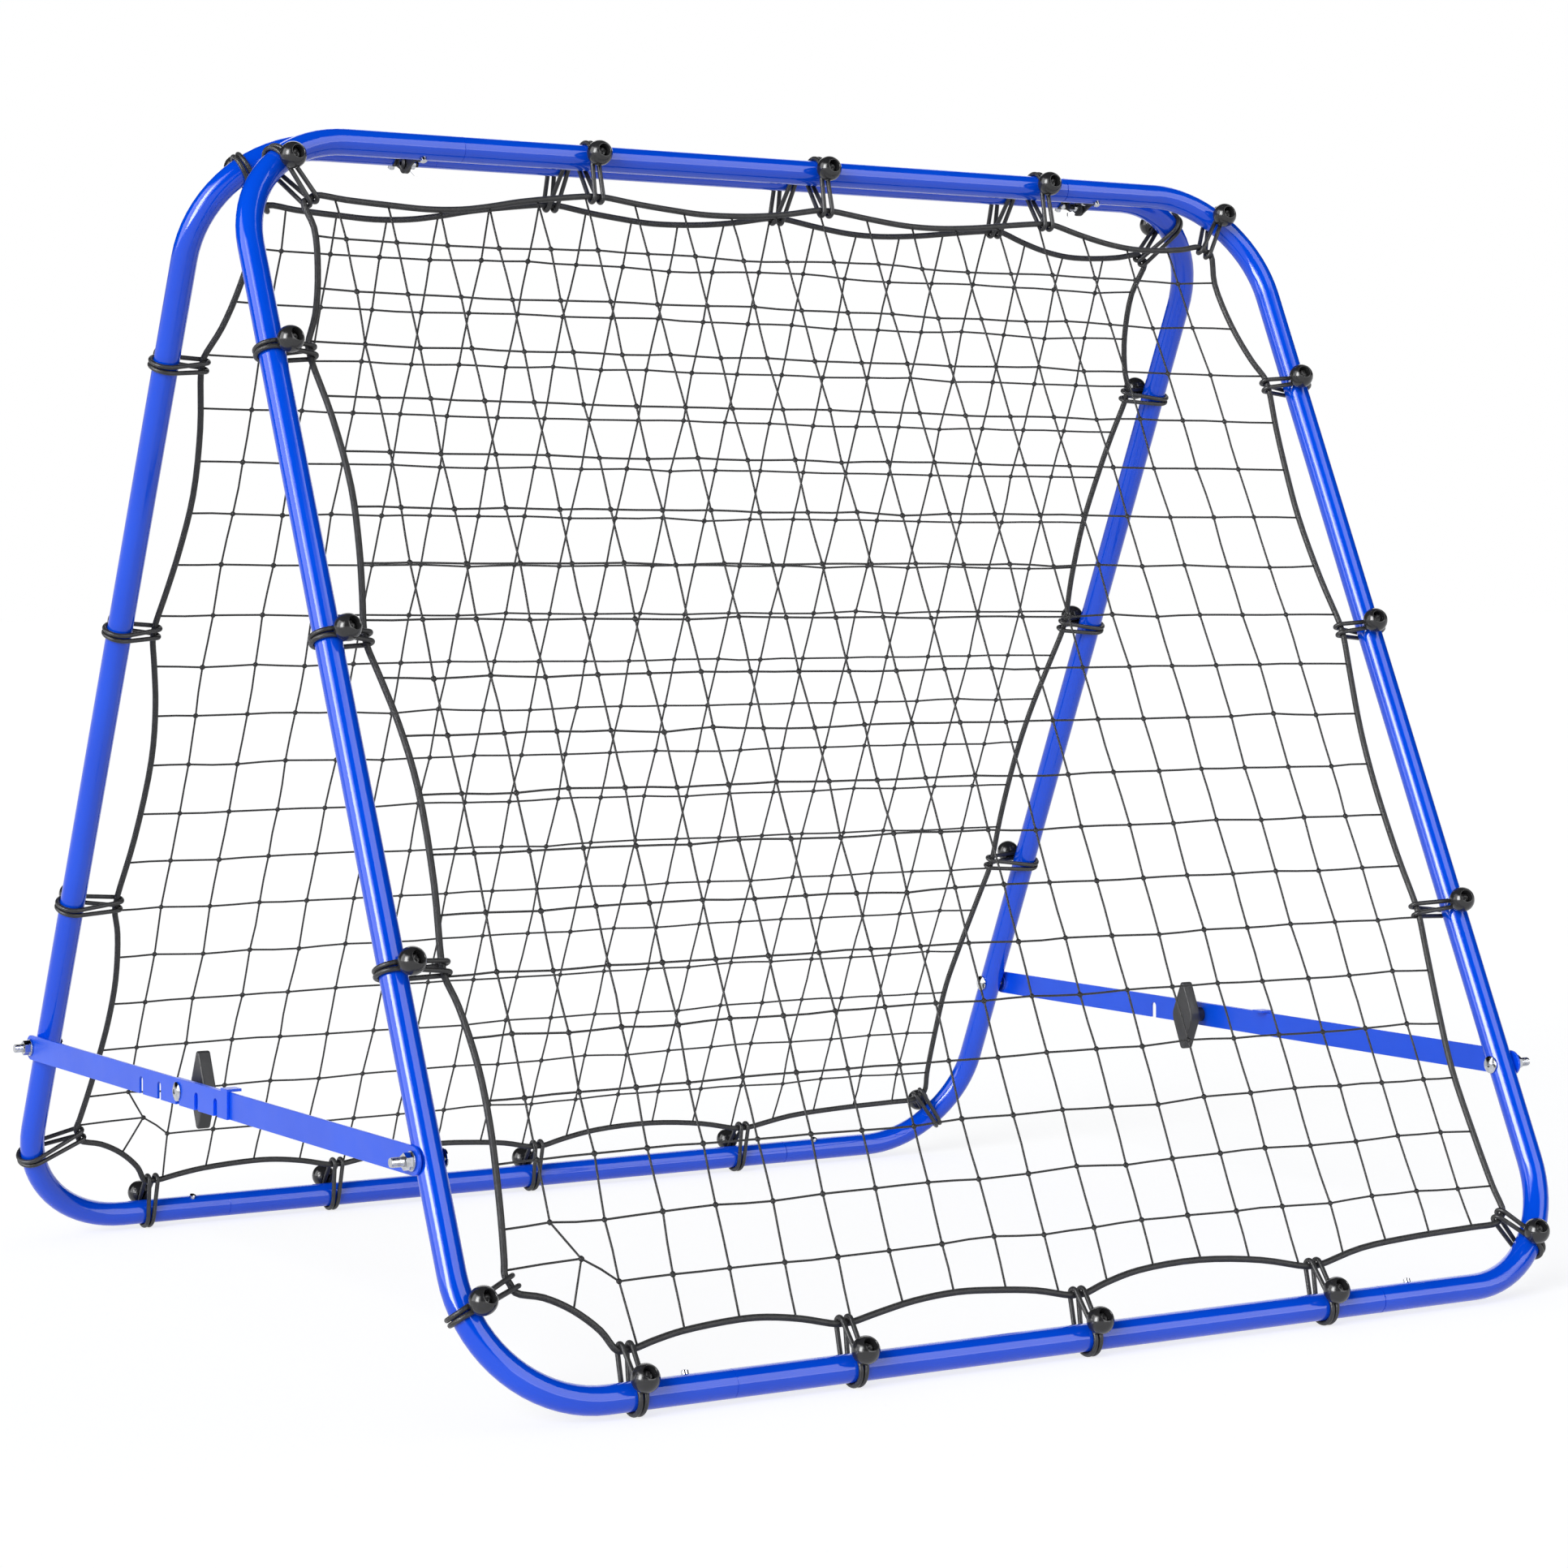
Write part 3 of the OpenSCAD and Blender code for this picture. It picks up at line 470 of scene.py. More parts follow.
class Mesh:
    """Vertices, faces and UVs of a piece that is built from tubes, lumps and copies of shapes."""

    def __init__(self):
        self.verts, self.faces, self.uvs = [], [], []

    def tube(self, points, radius, sides, closed=False):
        """Round tube along points in metres, with UV: U along it in its own widths, V round it."""
        pts = [Vector(p) for p in points]
        n = len(pts)
        tangents = directions(pts, closed)
        normals, twist = carried_normals(tangents, closed)
        base = len(self.verts)
        for i in range(n):
            other = tangents[i].cross(normals[i])
            for k in range(sides):
                a = math.tau * k / sides - twist * i / n
                self.verts.append(pts[i] + (normals[i] * math.cos(a) + other * math.sin(a)) * radius)
        rings = n + 1 if closed else n
        along = [0.0]
        for i in range(1, rings):
            along.append(along[-1] + (pts[i % n] - pts[i - 1]).length)
        for i in range(rings - 1):
            here, there = base + i * sides, base + (i + 1) % n * sides
            u0, u1 = along[i] / (2 * radius), along[i + 1] / (2 * radius)
            for k in range(sides):
                m = (k + 1) % sides
                v0, v1 = k / sides, (k + 1) / sides
                self.faces.append((here + k, here + m, there + m, there + k))
                self.uvs.append(((u0, v0), (u0, v1), (u1, v1), (u1, v0)))
        if not closed:
            first, last = pts[0] - tangents[0] * radius * 0.5, pts[-1] + tangents[-1] * radius * 0.5
            self.tip(base, sides, first, 0.0, -1)
            self.tip(base + (n - 1) * sides, sides, last, along[-1] / (2 * radius), 1)

    def tip(self, ring, sides, at, u, way):
        """Blunt end on a ring of vertices; way is 1 at a tube's last end and -1 at its first."""
        end = len(self.verts)
        self.verts.append(at)
        for k in range(sides):
            a, b = ring + k, ring + (k + 1) % sides
            self.faces.append((a, b, end) if way > 0 else (b, a, end))
            self.uvs.append(((u, k / sides), (u, (k + 1) / sides), (u, k / sides)))

    def lump(self, centre, axes, power, rings, sides):
        """Closed lump on three half axes; power 1 is an ellipsoid and lower powers make it a diamond."""
        base = len(self.verts)
        x, y, z = (Vector(a) for a in axes)

        def bent(c):
            return math.copysign(abs(c) ** (2 - power), c)

        for i in range(1, rings):
            t = math.pi * i / rings
            s = math.sin(t)
            for k in range(sides):
                p = math.tau * k / sides
                at = centre + x * s * bent(math.cos(p)) + y * s * bent(math.sin(p))
                self.verts.append(at + z * math.cos(t))
        top, end = len(self.verts), len(self.verts) + 1
        self.verts += [centre + z, centre - z]
        for i in range(rings - 2):
            for k in range(sides):
                m = (k + 1) % sides
                a, b = base + i * sides, base + (i + 1) * sides
                self.faces.append((a + k, b + k, b + m, a + m))
                self.uvs.append(((i, k), (i + 1, k), (i + 1, k + 1), (i, k + 1)))
        last = base + (rings - 2) * sides
        for k in range(sides):
            m = (k + 1) % sides
            self.faces.append((top, base + k, base + m))
            self.faces.append((end, last + m, last + k))
            self.uvs += [((0, k), (1, k), (1, k + 1)), ((0, k), (1, k), (1, k + 1))]

    def copy_of(self, shape, put):
        """A copy of a (vertices, faces) shape in mm, with each vertex put in place."""
        base = len(self.verts)
        self.verts += [put(*v) for v in shape[0]]
        for face in shape[1]:
            self.faces.append(tuple(base + i for i in face))
            self.uvs.append(tuple((0.0, 0.0) for _ in face))

    def made(self, name):
        mesh = bpy.data.meshes.new(name)
        mesh.from_pydata([tuple(v) for v in self.verts], [], self.faces)
        layer = mesh.uv_layers.new(name="along")
        layer.data.foreach_set("uv", [c for face in self.uvs for uv in face for c in uv])
        face_outward(mesh)
        return mesh


def turned(profile):
    """(vertices, faces) of a profile of (radius, height) turned round Z; a radius of 0 is a pole."""
    verts, faces, rings = [], [], []
    for r, z in profile:
        first = len(verts)
        if r == 0:
            rings.append([first] * ROUND)
            verts.append((0.0, 0.0, z))
            continue
        rings.append([first + k for k in range(ROUND)])
        for k in range(ROUND):
            a = math.tau * k / ROUND
            verts.append((r * math.cos(a), r * math.sin(a), z))
    for low, high in zip(rings, rings[1:]):
        for k in range(ROUND):
            m = (k + 1) % ROUND
            # A face at a pole has that corner twice, and dict.fromkeys keeps it once
            faces.append(tuple(dict.fromkeys((low[k], low[m], high[m], high[k]))))
    return verts, faces


def boxed(x0, x1, y0, y1, z0, z1):
    """(vertices, faces) of a box."""
    verts = [(x, y, z) for x in (x0, x1) for y in (y0, y1) for z in (z0, z1)]
    return verts, [(0, 1, 3, 2), (4, 6, 7, 5), (0, 4, 5, 1), (2, 3, 7, 6), (0, 2, 6, 4), (1, 5, 7, 3)]


def lying(shape):
    """A shape that stands along Z, laid along X."""
    return [(z, x, y) for x, y, z in shape[0]], shape[1]


def carved(shape, *cutters):
    """A (vertices, faces) shape with the cutters taken out of it."""
    made = []
    for verts, faces in (shape, *cutters):
        mesh = bpy.data.meshes.new("carving")
        mesh.from_pydata(verts, [], faces)
        face_outward(mesh)
        obj = bpy.data.objects.new("carving", mesh)
        bpy.context.scene.collection.objects.link(obj)
        made.append(obj)
    for cutter in made[1:]:
        cut = made[0].modifiers.new("cut", "BOOLEAN")
        cut.operation = "DIFFERENCE"
        cut.solver = "EXACT"
        cut.object = cutter
    result = made[0].evaluated_get(bpy.context.evaluated_depsgraph_get()).to_mesh()
    out = [tuple(v.co) for v in result.vertices], [tuple(p.vertices) for p in result.polygons]
    for obj in made:
        bpy.data.objects.remove(obj)
    return out


def spline(points, steps):
    """Closed centripetal Catmull-Rom curve through flat points."""
    pts = [np.array(p, float) for p in points]
    n = len(pts)
    out = []
    for i in range(n):
        p0, p1, p2, p3 = (pts[(i + d) % n] for d in (-1, 0, 1, 2))
        t0 = 0.0
        t1 = t0 + max(np.linalg.norm(p1 - p0), 1e-6) ** 0.5
        t2 = t1 + max(np.linalg.norm(p2 - p1), 1e-6) ** 0.5
        t3 = t2 + max(np.linalg.norm(p3 - p2), 1e-6) ** 0.5
        for s in range(steps):
            t = t1 + (t2 - t1) * s / steps
            a1 = (t1 - t) / (t1 - t0) * p0 + (t - t0) / (t1 - t0) * p1
            a2 = (t2 - t) / (t2 - t1) * p1 + (t - t1) / (t2 - t1) * p2
            a3 = (t3 - t) / (t3 - t2) * p2 + (t - t2) / (t3 - t2) * p3
            b1 = (t2 - t) / (t2 - t0) * a1 + (t - t0) / (t2 - t0) * a2
            b2 = (t3 - t) / (t3 - t1) * a2 + (t - t1) / (t3 - t1) * a3
            out.append((t2 - t) / (t2 - t1) * b1 + (t - t1) / (t2 - t1) * b2)
    return out


# ---- Border rope and net, in flat places: X across, Y up the slope ----

# The rope runs straight for this much more than a bungee's strands take up
ROPE_STRAIGHT = 1.0
# A tie within NEAR_HOOK of a bungee keeps TIE_CLEAR from its straight piece, or moves to TIE_MOVED from it
NEAR_HOOK, TIE_CLEAR, TIE_MOVED = 20.0, 1.5, 2.5


def rope_point(hook):
    """Where the rope's centre line passes through a bungee."""
    return np.array(hook.at, float) + hook.reach * np.array(hook.toward, float)


def rope_along(hook):
    """Direction of the rope through a bungee."""
    x, y = hook.toward
    return np.array((-y, x), float)


def half_straight(hook):
    """Half length of the rope's straight piece through a bungee, clear of both strands."""
    return STRAND_GAP / 2 + (WRAP_R + hook.reach) * math.tan(SPLAY) + CORD_D / 2 + ROPE_STRAIGHT


def rope_route():
    points = []
    for hook, span in zip(HOOKS, SPANS):
        middle, half = rope_point(hook), half_straight(hook) * rope_along(hook)
        points += [middle - half, middle, middle + half]
        points += span
    return points


ROPE = spline(rope_route(), 4)


def clear_of_hooks(point):
    """Moves a tie along the rope when it falls on a bungee's strands."""
    for hook in HOOKS:
        off = point - rope_point(hook)
        along = float(off @ rope_along(hook))
        if np.linalg.norm(off) < NEAR_HOOK and abs(along) < half_straight(hook) + TIE_CLEAR:
            moved = math.copysign(half_straight(hook) + TIE_MOVED, along)
            want = rope_point(hook) + moved * rope_along(hook)
            return min(ROPE, key=lambda q: float(np.linalg.norm(q - want)))
    return point


def rope_at(value, axis, upper):
    """Where the rope crosses X or Y = value, on its upper or lower side of the other axis."""
    best = None
    n = len(ROPE)
    for i in range(n):
        p, q = ROPE[i], ROPE[(i + 1) % n]
        if (p[axis] - value) * (q[axis] - value) <= 0 and p[axis] != q[axis]:
            s = (value - p[axis]) / (q[axis] - p[axis])
            c = p + s * (q - p)
            if best is None or (c[1 - axis] > best[1 - axis]) == upper:
                best = c
    return clear_of_hooks(best)


# The net's strands: its rows, and its left edge and widths at the top, the middle and the foot
COLS, ROWS = 19, 19
ROW_TOP, ROW_STEP = TUBE_L - 103, 55.4
ROW_Y = [ROW_TOP - ROW_STEP * j for j in range(ROWS)]
NET_LEFT, NET_TOP_W, NET_MID_W, NET_LOW_W = -494.0, 963.0, 979.0, 985.0
# Share of a cord net at rest in a knot's place, beside even rows and columns, and how far a knot wanders
RELAXED, WANDER = 0.35, 0.9
# The bottom left knot is pulled in, and so are its two ties
CORNER_KNOT = (-467.0, 119.0)
CORNER_TIE_X, CORNER_TIE_Y = -484, 116
# How far the strands stray aside and outward
STRAY_ASIDE, STRAY_OUT = 0.3, 0.12
# Knots: half their width, how much it varies, half their thickness, their turn and how round they are
KNOT_W, KNOT_VARY, KNOT_T, KNOT_TURN, KNOT_POWER = 2.9, 0.2, 2.0, 0.25, 0.8


def column_x(i, j):
    """Across place of a knot: the net is a little narrower at its top than at its foot."""
    s = j / (ROWS - 1)
    w = NET_TOP_W + (NET_MID_W - NET_TOP_W) * min(1, 2 * s) + (NET_LOW_W - NET_MID_W) * max(0, 2 * s - 1)
    return NET_LEFT + w * i / (COLS - 1)


def tie_place(i, j, di, dj):
    """Where the strand that leaves the knot (i, j) in the direction (di, dj) meets the rope."""
    return rope_at(column_x(i, j), 0, dj < 0) if dj else rope_at(ROW_Y[j], 1, di > 0)


def net_at_rest():
    """Knot places of a cord net at rest between its ties on the rope, and those ties."""
    matrix = np.zeros((COLS * ROWS, COLS * ROWS))
    pull = np.zeros((COLS * ROWS, 2))
    ties = {}
    for i in range(COLS):
        for j in range(ROWS):
            n = j * COLS + i
            for di, dj in ((1, 0), (-1, 0), (0, 1), (0, -1)):
                ii, jj = i + di, j + dj
                matrix[n, n] += 1
                if 0 <= ii < COLS and 0 <= jj < ROWS:
                    matrix[n, jj * COLS + ii] -= 1
                else:
                    ties[(ii, jj)] = tie_place(i, j, di, dj)
                    pull[n] += ties[(ii, jj)]
    return np.linalg.solve(matrix, pull).reshape(ROWS, COLS, 2), ties


def knot_places():
    """Flat place of every knot and tie, by its column and row."""
    rest, ties = net_at_rest()
    chance = random.Random(7)
    knots = {}
    for i in range(COLS):
        for j in range(ROWS):
            even = np.array((column_x(i, j), ROW_Y[j]))
            wander = np.array((chance.gauss(0, WANDER), chance.gauss(0, WANDER)))
            knots[(i, j)] = RELAXED * rest[j, i] + (1 - RELAXED) * even + wander
    knots[(0, ROWS - 1)] = np.array(CORNER_KNOT)
    ties[(0, ROWS)] = rope_at(CORNER_TIE_X, 0, False)
    ties[(-1, ROWS - 1)] = rope_at(CORNER_TIE_Y, 1, False)
    knots.update(ties)
    return knots


KNOTS = knot_places()


def strand(front, keys, stray):
    """Centre line of a strand through the knots and ties named, which strays a little between them."""
    points = []
    for a, b in zip(keys, keys[1:]):
        start, step = KNOTS[a], KNOTS[b] - KNOTS[a]
        for s in (0.0, 0.5):
            x, y = start + s * step
            aside = stray.gauss(0, STRAY_ASIDE) if s else 0.0
            points.append(place(front, x + aside, y + aside, stray.gauss(0, STRAY_OUT)))
    points.append(place(front, *KNOTS[keys[-1]]))
    return points


def build_rope(front):
    rope = Mesh()
    rope.tube([place(front, *p) for p in ROPE], ROPE_D / 2 * MM, sides=16, closed=True)
    on_frame(front, "border_rope_braid", rope.made("rope"), "border_rope", "border_rope")


def build_net(front):
    net = Mesh()
    stray = random.Random(11)
    for i in range(COLS):
        net.tube(strand(front, [(i, j) for j in range(-1, ROWS + 1)], stray), STRAND_D / 2 * MM, sides=8)
    for j in range(ROWS):
        net.tube(strand(front, [(i, j) for i in range(-1, COLS + 1)], stray), STRAND_D / 2 * MM, sides=8)
    across, up, out = (place(front, *d) - place(front, 0, 0) for d in ((1, 0), (0, 1), (0, 0, 1)))
    for (i, j), at in KNOTS.items():
        if 0 <= i < COLS and 0 <= j < ROWS:
            w = KNOT_W + stray.uniform(-KNOT_VARY, KNOT_VARY)
            turn = stray.uniform(-KNOT_TURN, KNOT_TURN)
            x = across * math.cos(turn) + up * math.sin(turn)
            y = up * math.cos(turn) - across * math.sin(turn)
            net.lump(place(front, *at), (x * w, y * w, out * KNOT_T), KNOT_POWER, rings=6, sides=12)
    on_frame(front, "knotted_net", net.made("net"), "net_strand", "net")


# ---- Bungees, in a hook's own axes: X to the rope, Y along the tube, Z outward ----

# Steps of a strand round the tube, round the rope and between them
WRAP_STEPS, HOOK_STEPS, RUN_STEPS = 24, 12, 4
# How much further apart the two strands of a bungee lie at the rope, at the most
LOOP_SPREAD = 0.25
# Length of the stems, which lead the strands through the ball to the knot
STEM_L = 8
# Rim of a ball's mouth: its width, its bulge and its depth
RIM_W, RIM_BULGE, RIM_DEPTH = 0.9, 0.3, 1.1
BALL_STEPS, RIM_STEPS = 26, 5
# Knot in a ball's mouth: its middle over its seat, the size of its turns, its cord and its steps
END_KNOT_Z = BALL_Z + MOUTH_FROM + SEAT + 3.3
END_KNOT_R, END_KNOT_CORD, END_KNOT_STEPS = 1.15, 2.1, 36


def run_turn(reach):
    """Angle between a strand's straight runs and the line from the tube to the rope."""
    return math.asin((WRAP_R - HOOK_R) / reach)


def stem_y(reach):
    """Distance of each stem from the middle of the ball."""
    splay = math.sin(SPLAY)
    return STRAND_GAP / 2 + WRAP_R * math.tan(SPLAY) + (WRAP_R * math.sin(run_turn(reach)) + STEM_X) * splay


def hook_place(front, hook):
    """A function that puts a point of a hook's own axes in its place on the frame."""
    angle = math.atan2(hook.toward[1], hook.toward[0])
    c, s = math.cos(angle), math.sin(angle)

    def put(x, y, z):
        return place(front, hook.at[0] + x * c - y * s, hook.at[1] + x * s + y * c, z)

    return put


def on_run(put, reach):
    """The same for axes that are turned square to the outer straight runs and moved to the ball."""
    a = run_turn(reach)

    def turn(x, y, z):
        x += STEM_X
        return put(x * math.cos(a) + z * math.sin(a), y, -x * math.sin(a) + z * math.cos(a))

    return turn


def between(a, b):
    """The points of a straight run between two others."""
    return [[a[k] + (b[k] - a[k]) * i / RUN_STEPS for k in range(3)] for i in range(1, RUN_STEPS)]


def cord_loop(reach, s, spread_out, spread_in):
    """One strand as a closed loop round the tube and the rope, drawn further out at its rope end."""
    a = run_turn(reach)
    points = []
    for i in range(WRAP_STEPS + 1):
        t = math.pi / 2 - a + (math.pi + 2 * a) * i / WRAP_STEPS
        points.append([WRAP_R * math.cos(t), 0, WRAP_R * math.sin(t)])
    points += between(points[-1], [reach + HOOK_R * math.sin(a), 0, -HOOK_R * math.cos(a)])
    for i in range(HOOK_STEPS + 1):
        t = a - math.pi / 2 + (math.pi - 2 * a) * i / HOOK_STEPS
        points.append([reach + HOOK_R * math.cos(t), 0, HOOK_R * math.sin(t)])
    points += between(points[-1], points[0])
    for p in points:
        run = (p[0] + WRAP_R) / (reach + WRAP_R)
        more = (spread_out if p[2] > 0 else spread_in) * max(0.0, run) * min(1.0, abs(p[2]) / HOOK_R)
        p[1] = s * (STRAND_GAP / 2 + (p[0] + WRAP_R) * math.tan(SPLAY) + more)
    return points


def end_knot(turn, spin):
    """Centre line of the knot that holds a bungee in its ball."""
    points = []
    for i in range(END_KNOT_STEPS):
        t = math.tau * i / END_KNOT_STEPS
        r = (2 + math.cos(3 * t)) * END_KNOT_R
        a = 2 * t + spin
        points.append(turn(r * math.cos(a), r * math.sin(a), END_KNOT_Z + END_KNOT_R * math.sin(3 * t)))
    return points


def ball_profile():
    """Half section of a ball as (radius, height), from its pole to the floor of its mouth."""
    end = math.asin((MOUTH_R + RIM_W) / BALL_R)
    profile = [(0.0, -BALL_R)]
    for i in range(1, BALL_STEPS + 1):
        t = math.pi - (math.pi - end) * i / BALL_STEPS
        profile.append((BALL_R * math.sin(t), BALL_R * math.cos(t)))
    rim_r, rim_z = profile[-1]
    for i in range(1, RIM_STEPS + 1):
        t = i / RIM_STEPS * math.pi / 2
        r = rim_r - (rim_r - MOUTH_R) * math.sin(t)
        profile.append((r, rim_z + RIM_BULGE * math.sin(2 * t) - RIM_DEPTH * (1 - math.cos(t))))
    return profile + [(MOUTH_R, MOUTH_FROM), (0.0, MOUTH_FROM)]


def ball_shape():
    """Ball with a rounded mouth, a channel over the two strands and a slot for the stems."""
    y = stem_y(max(hook.reach for hook in HOOKS))
    slot = CORD_D / 2 + SEAT
    wide = y + slot + BALL_R * math.sin(SPLAY) + SEAT
    low = CHANNEL_TOP - BALL_Z
    # Both cutters reach a little past what they open
    channel = boxed(-2 * BALL_R, 2 * BALL_R, -wide, wide, low - 2 * BALL_R, low)
    slots = boxed(-slot, slot, -y - slot, y + slot, low - 1.0, MOUTH_FROM + 0.5)
    return carved(turned(ball_profile()), channel, slots)


BALL = ball_shape()


def build_bungees(front):
    cords, balls = Mesh(), Mesh()
    vary = random.Random(3)
    for hook in HOOKS:
        put = hook_place(front, hook)
        turn = on_run(put, hook.reach)
        for s in (-1, 1):
            loop = cord_loop(hook.reach, s, vary.uniform(0.0, LOOP_SPREAD), vary.uniform(0.0, LOOP_SPREAD))
            cords.tube([put(*p) for p in loop], CORD_D / 2 * MM, sides=14, closed=True)
            y = s * stem_y(hook.reach)
            cords.tube([turn(0, y, WRAP_R + z) for z in (0, STEM_L / 2, STEM_L)], STEM_R * MM, sides=12)
        spin = vary.uniform(0, math.tau)
        cords.tube(end_knot(turn, spin), END_KNOT_CORD * MM, sides=10, closed=True)
        balls.copy_of(BALL, lambda x, y, z: turn(x, y, BALL_Z + z))
    on_frame(front, "elastic_cords", cords.made("cords"), "elastic_cord", "bungee_cords")
    on_frame(front, "round_balls", balls.made("balls"), "ball_plastic", "bungee_balls", sharp=40)


# ---- Clamp knobs and bolt threads ----

# Rounding of the grip's corners and rims
GRIP_CORNER, GRIP_RIM = 2.0, 1.7
# Threads: pitch, half thickness of a turn, where they leave the nuts and how far they stop from the tip
THREAD_PITCH, THREAD_R, THREAD_STEPS = 1.25, 0.36, 20
FRONT_NUT_END, REAR_NUT_END = 611.6, 614.4
TIP_BARE = 0.6


def grip_shape():
    """Long eight-sided grip with rounded corners and rims, with X along the bolt."""
    end, side, l, w = KNOB_END_FLAT, KNOB_SIDE_FLAT, KNOB_HALF_L, KNOB_HALF_W
    outline = [(end, l), (w, side), (w, -side), (end, -l), (-end, -l), (-w, -side), (-w, side), (-end, l)]
    bm = bmesh.new()
    low = [bm.verts.new((-KNOB_T, y, z)) for y, z in outline]
    high = [bm.verts.new((0.0, y, z)) for y, z in outline]
    bm.faces.new(low)
    bm.faces.new(high[::-1])
    for i in range(8):
        j = (i + 1) % 8
        bm.faces.new((low[j], low[i], high[i], high[j]))
    corners = [bm.edges.get(pair) for pair in zip(low, high)]
    bmesh.ops.bevel(bm, geom=corners, offset=GRIP_CORNER, segments=4, profile=0.5, affect="EDGES")
    rims = [e for e in bm.edges if abs(e.verts[0].co.x - e.verts[1].co.x) < 1e-6]
    bmesh.ops.bevel(bm, geom=rims, offset=GRIP_RIM, segments=4, profile=0.5, affect="EDGES")
    bmesh.ops.recalc_face_normals(bm, faces=bm.faces)
    bm.verts.index_update()
    shape = [tuple(v.co) for v in bm.verts], [tuple(v.index for v in f.verts) for f in bm.faces]
    bm.free()
    return shape


def knob_shapes():
    """The grip with its bore, and the boss with its flared foot and rounded end."""
    r, reach, over = BOSS_R, BOSS_L, BOSS_L + 5
    bore = [(0.0, reach - INSERT_L), (INSERT_R, reach - INSERT_L), (INSERT_R, over), (0.0, over)]
    boss = [(INSERT_R, -0.5), (r + 1.2, -0.5), (r + 1.2, 0.0), (r + 0.5, 0.2), (r + 0.1, 0.8), (r, 1.6)]
    boss += [(r, reach - 0.7), (r - 0.2, reach - 0.2), (r - 0.7, reach), (INSERT_R, reach), (INSERT_R, -0.5)]
    return carved(grip_shape(), lying(turned(bore))), lying(turned(boss))


def build_knob(side, sign, shapes):
    knob = Mesh()
    for shape in shapes:
        knob.copy_of(shape, lambda x, y, z: Vector((sign * (KNOB_X + x), KNOB_Y + y, BAR_Z + z)) * MM)
    node = f"{side}_knob"
    piece(f"{side}_grip", knob.made("knob"), body_of(node), "knob_plastic", node, sharp=30)


def thread_points(side, nut_end, y):
    """Centre line of the thread on the left (-1) or right (1) end of a pivot bolt, which lies along X."""
    points = []
    for i in range(int((BOLT_TIP - TIP_BARE - nut_end) / THREAD_PITCH * THREAD_STEPS)):
        t = math.tau * i / THREAD_STEPS
        x = side * (nut_end + THREAD_PITCH * i / THREAD_STEPS)
        points.append(Vector((x, y + BOLT_R * math.cos(t), BAR_Z + BOLT_R * math.sin(t))) * MM)
    return points


def build_threads(side, y, nut_end):
    threads = Mesh()
    for s in (-1, 1):
        threads.tube(thread_points(s, nut_end, y), THREAD_R * MM, sides=6)
    piece(f"{side}_pivot_threads", threads.made("threads"), body_of(f"{side}_pivot_bolts"), "chromed_steel")


for is_front in (True, False):
    build_rope(is_front)
    build_net(is_front)
    build_bungees(is_front)

KNOB = knob_shapes()
build_knob("left", -1, KNOB)
build_knob("right", 1, KNOB)
build_threads("front", -PIVOT_Y, FRONT_NUT_END)
build_threads("rear", PIVOT_Y, REAR_NUT_END)


# ---- Stage, light and camera ----

# The floor: its size in metres, its shades, and how much of it the eye sees as plain white, and how white
FLOOR_SIZE = 120
FLOOR_DARK, FLOOR_LIGHT = (242, 242, 243), (247, 247, 248)
FLOOR_WHITE, WHITE_STRENGTH = 0.6, 1.26


def stage():
    bpy.ops.mesh.primitive_plane_add(size=FLOOR_SIZE)
    floor = bpy.context.object
    floor.name = "floor"
    m = Look("floor")
    m.colour(m.noise(0.8), FLOOR_DARK, FLOOR_LIGHT)
    m.rough(m.noise(3.0), 0.85, 0.95)
    m.set(Specular_IOR_Level=0.0)
    path = m.node("LightPath")
    looked_at = m.math("MAXIMUM", path.outputs["Is Camera Ray"], path.outputs["Is Glossy Ray"])
    white = m.node("Emission")
    white.inputs["Strength"].default_value = WHITE_STRENGTH
    mix = m.node("MixShader")
    m.link(m.math("MULTIPLY", looked_at, FLOOR_WHITE), mix.inputs[0])
    m.link(m.shader.outputs[0], mix.inputs[1])
    m.link(white.outputs[0], mix.inputs[2])
    m.link(mix.outputs[0], m.tree.nodes["Material Output"].inputs[0])
    floor.data.materials.append(m.mat)


# The key light: where it stands as seen from the object, its power and its spread in degrees
KEY_FROM, KEY_POWER, KEY_SPREAD = (-0.78, -0.45, 0.42), 2.15, 32


def key_light():
    """A wide soft light from far away, so that the floor is lit evenly."""
    light = bpy.data.lights.new("key", "SUN")
    light.energy = KEY_POWER
    light.angle = math.radians(KEY_SPREAD)
    obj = bpy.data.objects.new("key", light)
    obj.rotation_euler = Vector(KEY_FROM).to_track_quat("Z", "Y").to_euler()
    obj.visible_glossy = False
    bpy.context.scene.collection.objects.link(obj)


# The studio's soft boxes as glossy surfaces see them: middle and half width in degrees round the
# vertical from +Y towards +X, lower and upper edge in degrees above the horizon, strength, and how
# softly the upper edge ends
SOFT_BOXES = [
    (-91, 36, 0, 40, 3.4, 0.03),
    (-105, 11, 0, 31, 17.0, 0.12),
    (159, 29, -2, 47, 3.2, 0.03),
    (35, 24, 6, 40, 1.8, 0.05),
]
SIDE_FADE, LOW_FADE = 0.03, 0.02
# The sky behind them fades from SKY_NEAR to SKY_HIGH between two heights on a sphere of radius 1
SKY_NEAR, SKY_HIGH = 0.9, 0.0
SKY_FROM, SKY_TO = 0.03, 0.16
# Light from all around, for everything but reflections
FILL, FILL_COLOUR = 0.42, (0.96, 0.98, 1.0, 1)
WHITE = (1, 1, 1, 1)


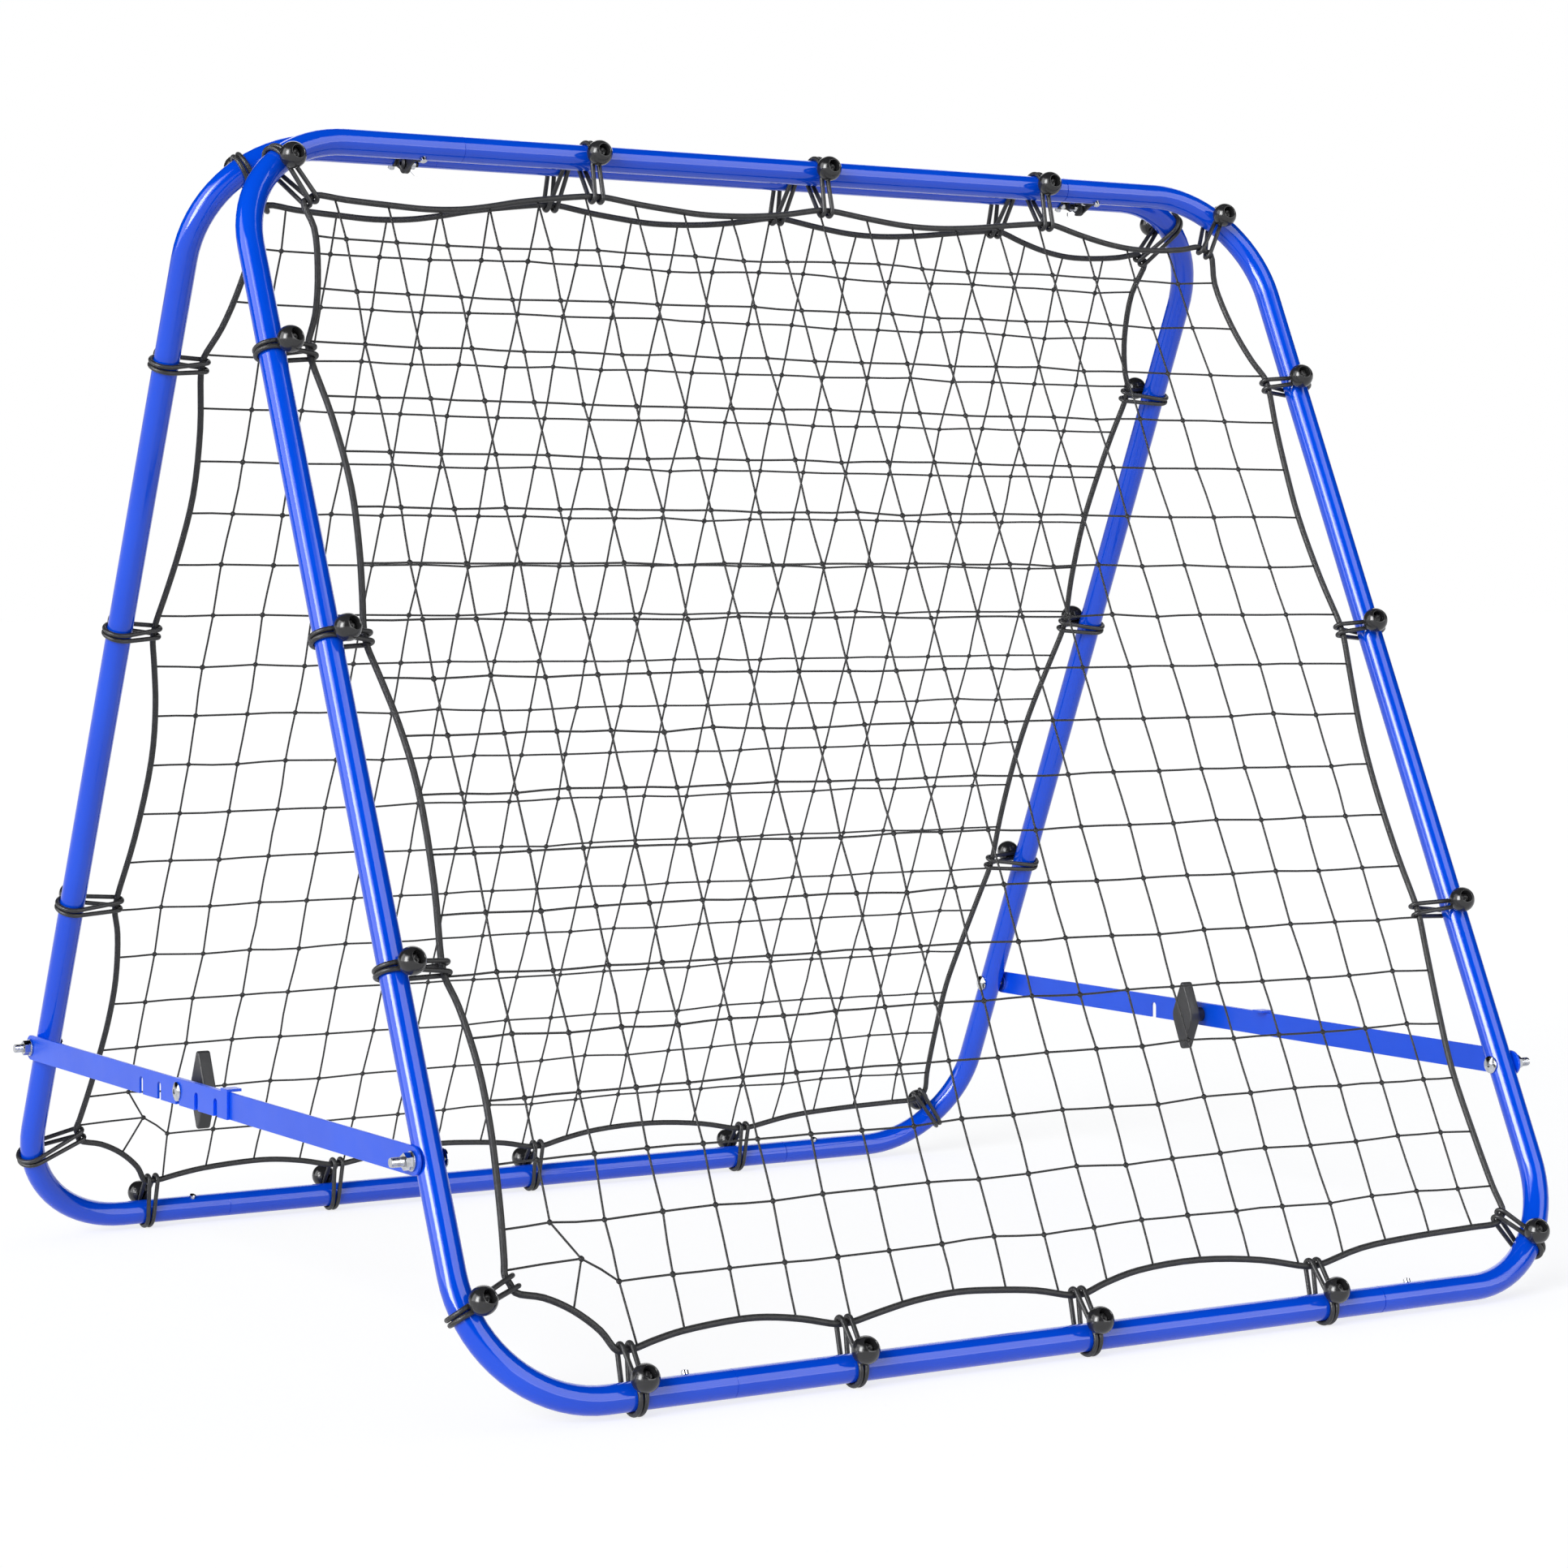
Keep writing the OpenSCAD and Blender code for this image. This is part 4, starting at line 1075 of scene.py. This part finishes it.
def world():
    w = bpy.data.worlds.new("studio")
    bpy.context.scene.world = w
    w.use_nodes = True
    w.node_tree.nodes.clear()
    t = Nodes(w.node_tree)
    path = t.node("LightPath")
    sep = t.node("SeparateXYZ")
    t.link(t.coords("Generated"), sep.inputs[0])
    x, y, z = sep.outputs
    # The level share of the direction, which X and Y are divided by
    flat = t.math("SQRT", t.math("MAXIMUM", t.math("SUBTRACT", 1.0, t.math("MULTIPLY", z, z)), 1e-6))

    def edge(value, at, soft):
        return t.spread(value, 0.0, 1.0, at - soft, at + soft, "SMOOTHSTEP")

    total = t.spread(z, SKY_NEAR, SKY_HIGH, SKY_FROM, SKY_TO, "SMOOTHSTEP")
    for middle, half, low, high, strength, fade in SOFT_BOXES:
        m, h = math.radians(middle), math.radians(half)
        toward = t.math("ADD", t.math("MULTIPLY", x, math.sin(m)), t.math("MULTIPLY", y, math.cos(m)))
        toward = t.math("DIVIDE", toward, flat)
        soft = (math.cos(h - SIDE_FADE) - math.cos(h + SIDE_FADE)) / 2
        above = edge(z, math.sin(math.radians(low)), LOW_FADE)
        below = t.math("SUBTRACT", 1.0, edge(z, math.sin(math.radians(high)), fade))
        mask = t.math("MULTIPLY", t.math("MULTIPLY", edge(toward, math.cos(h), soft), above), below)
        total = t.math("ADD", total, t.math("MULTIPLY", mask, strength))

    def light(colour, strength):
        n = t.node("Background")
        n.inputs[0].default_value = colour
        if isinstance(strength, float):
            n.inputs[1].default_value = strength
        else:
            t.link(strength, n.inputs[1])
        return n.outputs[0]

    def mixed(fac, a, b):
        n = t.node("MixShader")
        t.link(fac, n.inputs[0])
        t.link(a, n.inputs[1])
        t.link(b, n.inputs[2])
        return n.outputs[0]

    fill = light(FILL_COLOUR, FILL)
    shade = mixed(path.outputs["Is Glossy Ray"], fill, light(WHITE, total))
    shade = mixed(path.outputs["Is Camera Ray"], shade, light(WHITE, 1.0))
    t.link(shade, t.node("OutputWorld").inputs[0])


# The photograph's camera, solved from the straight tubes
CAM_AT = (-1.95445, -3.23254, 0.68827)
AZIMUTH, ELEVATION = math.radians(-31.58), math.radians(0.24)
LENS, SENSOR = 86.07, 36.0
SHIFT_X, SHIFT_Y = -0.00265, -0.1183


def camera():
    data = bpy.data.cameras.new("camera")
    data.sensor_width = SENSOR
    data.lens = LENS
    data.shift_x = SHIFT_X
    data.shift_y = SHIFT_Y
    data.clip_end = 200.0
    cam = bpy.data.objects.new("camera", data)
    bpy.context.scene.collection.objects.link(cam)
    bpy.context.scene.camera = cam
    cam.location = CAM_AT
    level = math.cos(ELEVATION)
    look = Vector((-math.sin(AZIMUTH) * level, math.cos(AZIMUTH) * level, -math.sin(ELEVATION)))
    cam.rotation_euler = look.to_track_quat("-Z", "Y").to_euler()


stage()
world()
key_light()
camera()

view = bpy.context.scene.view_settings
view.view_transform = "Standard"
view.look = "None"
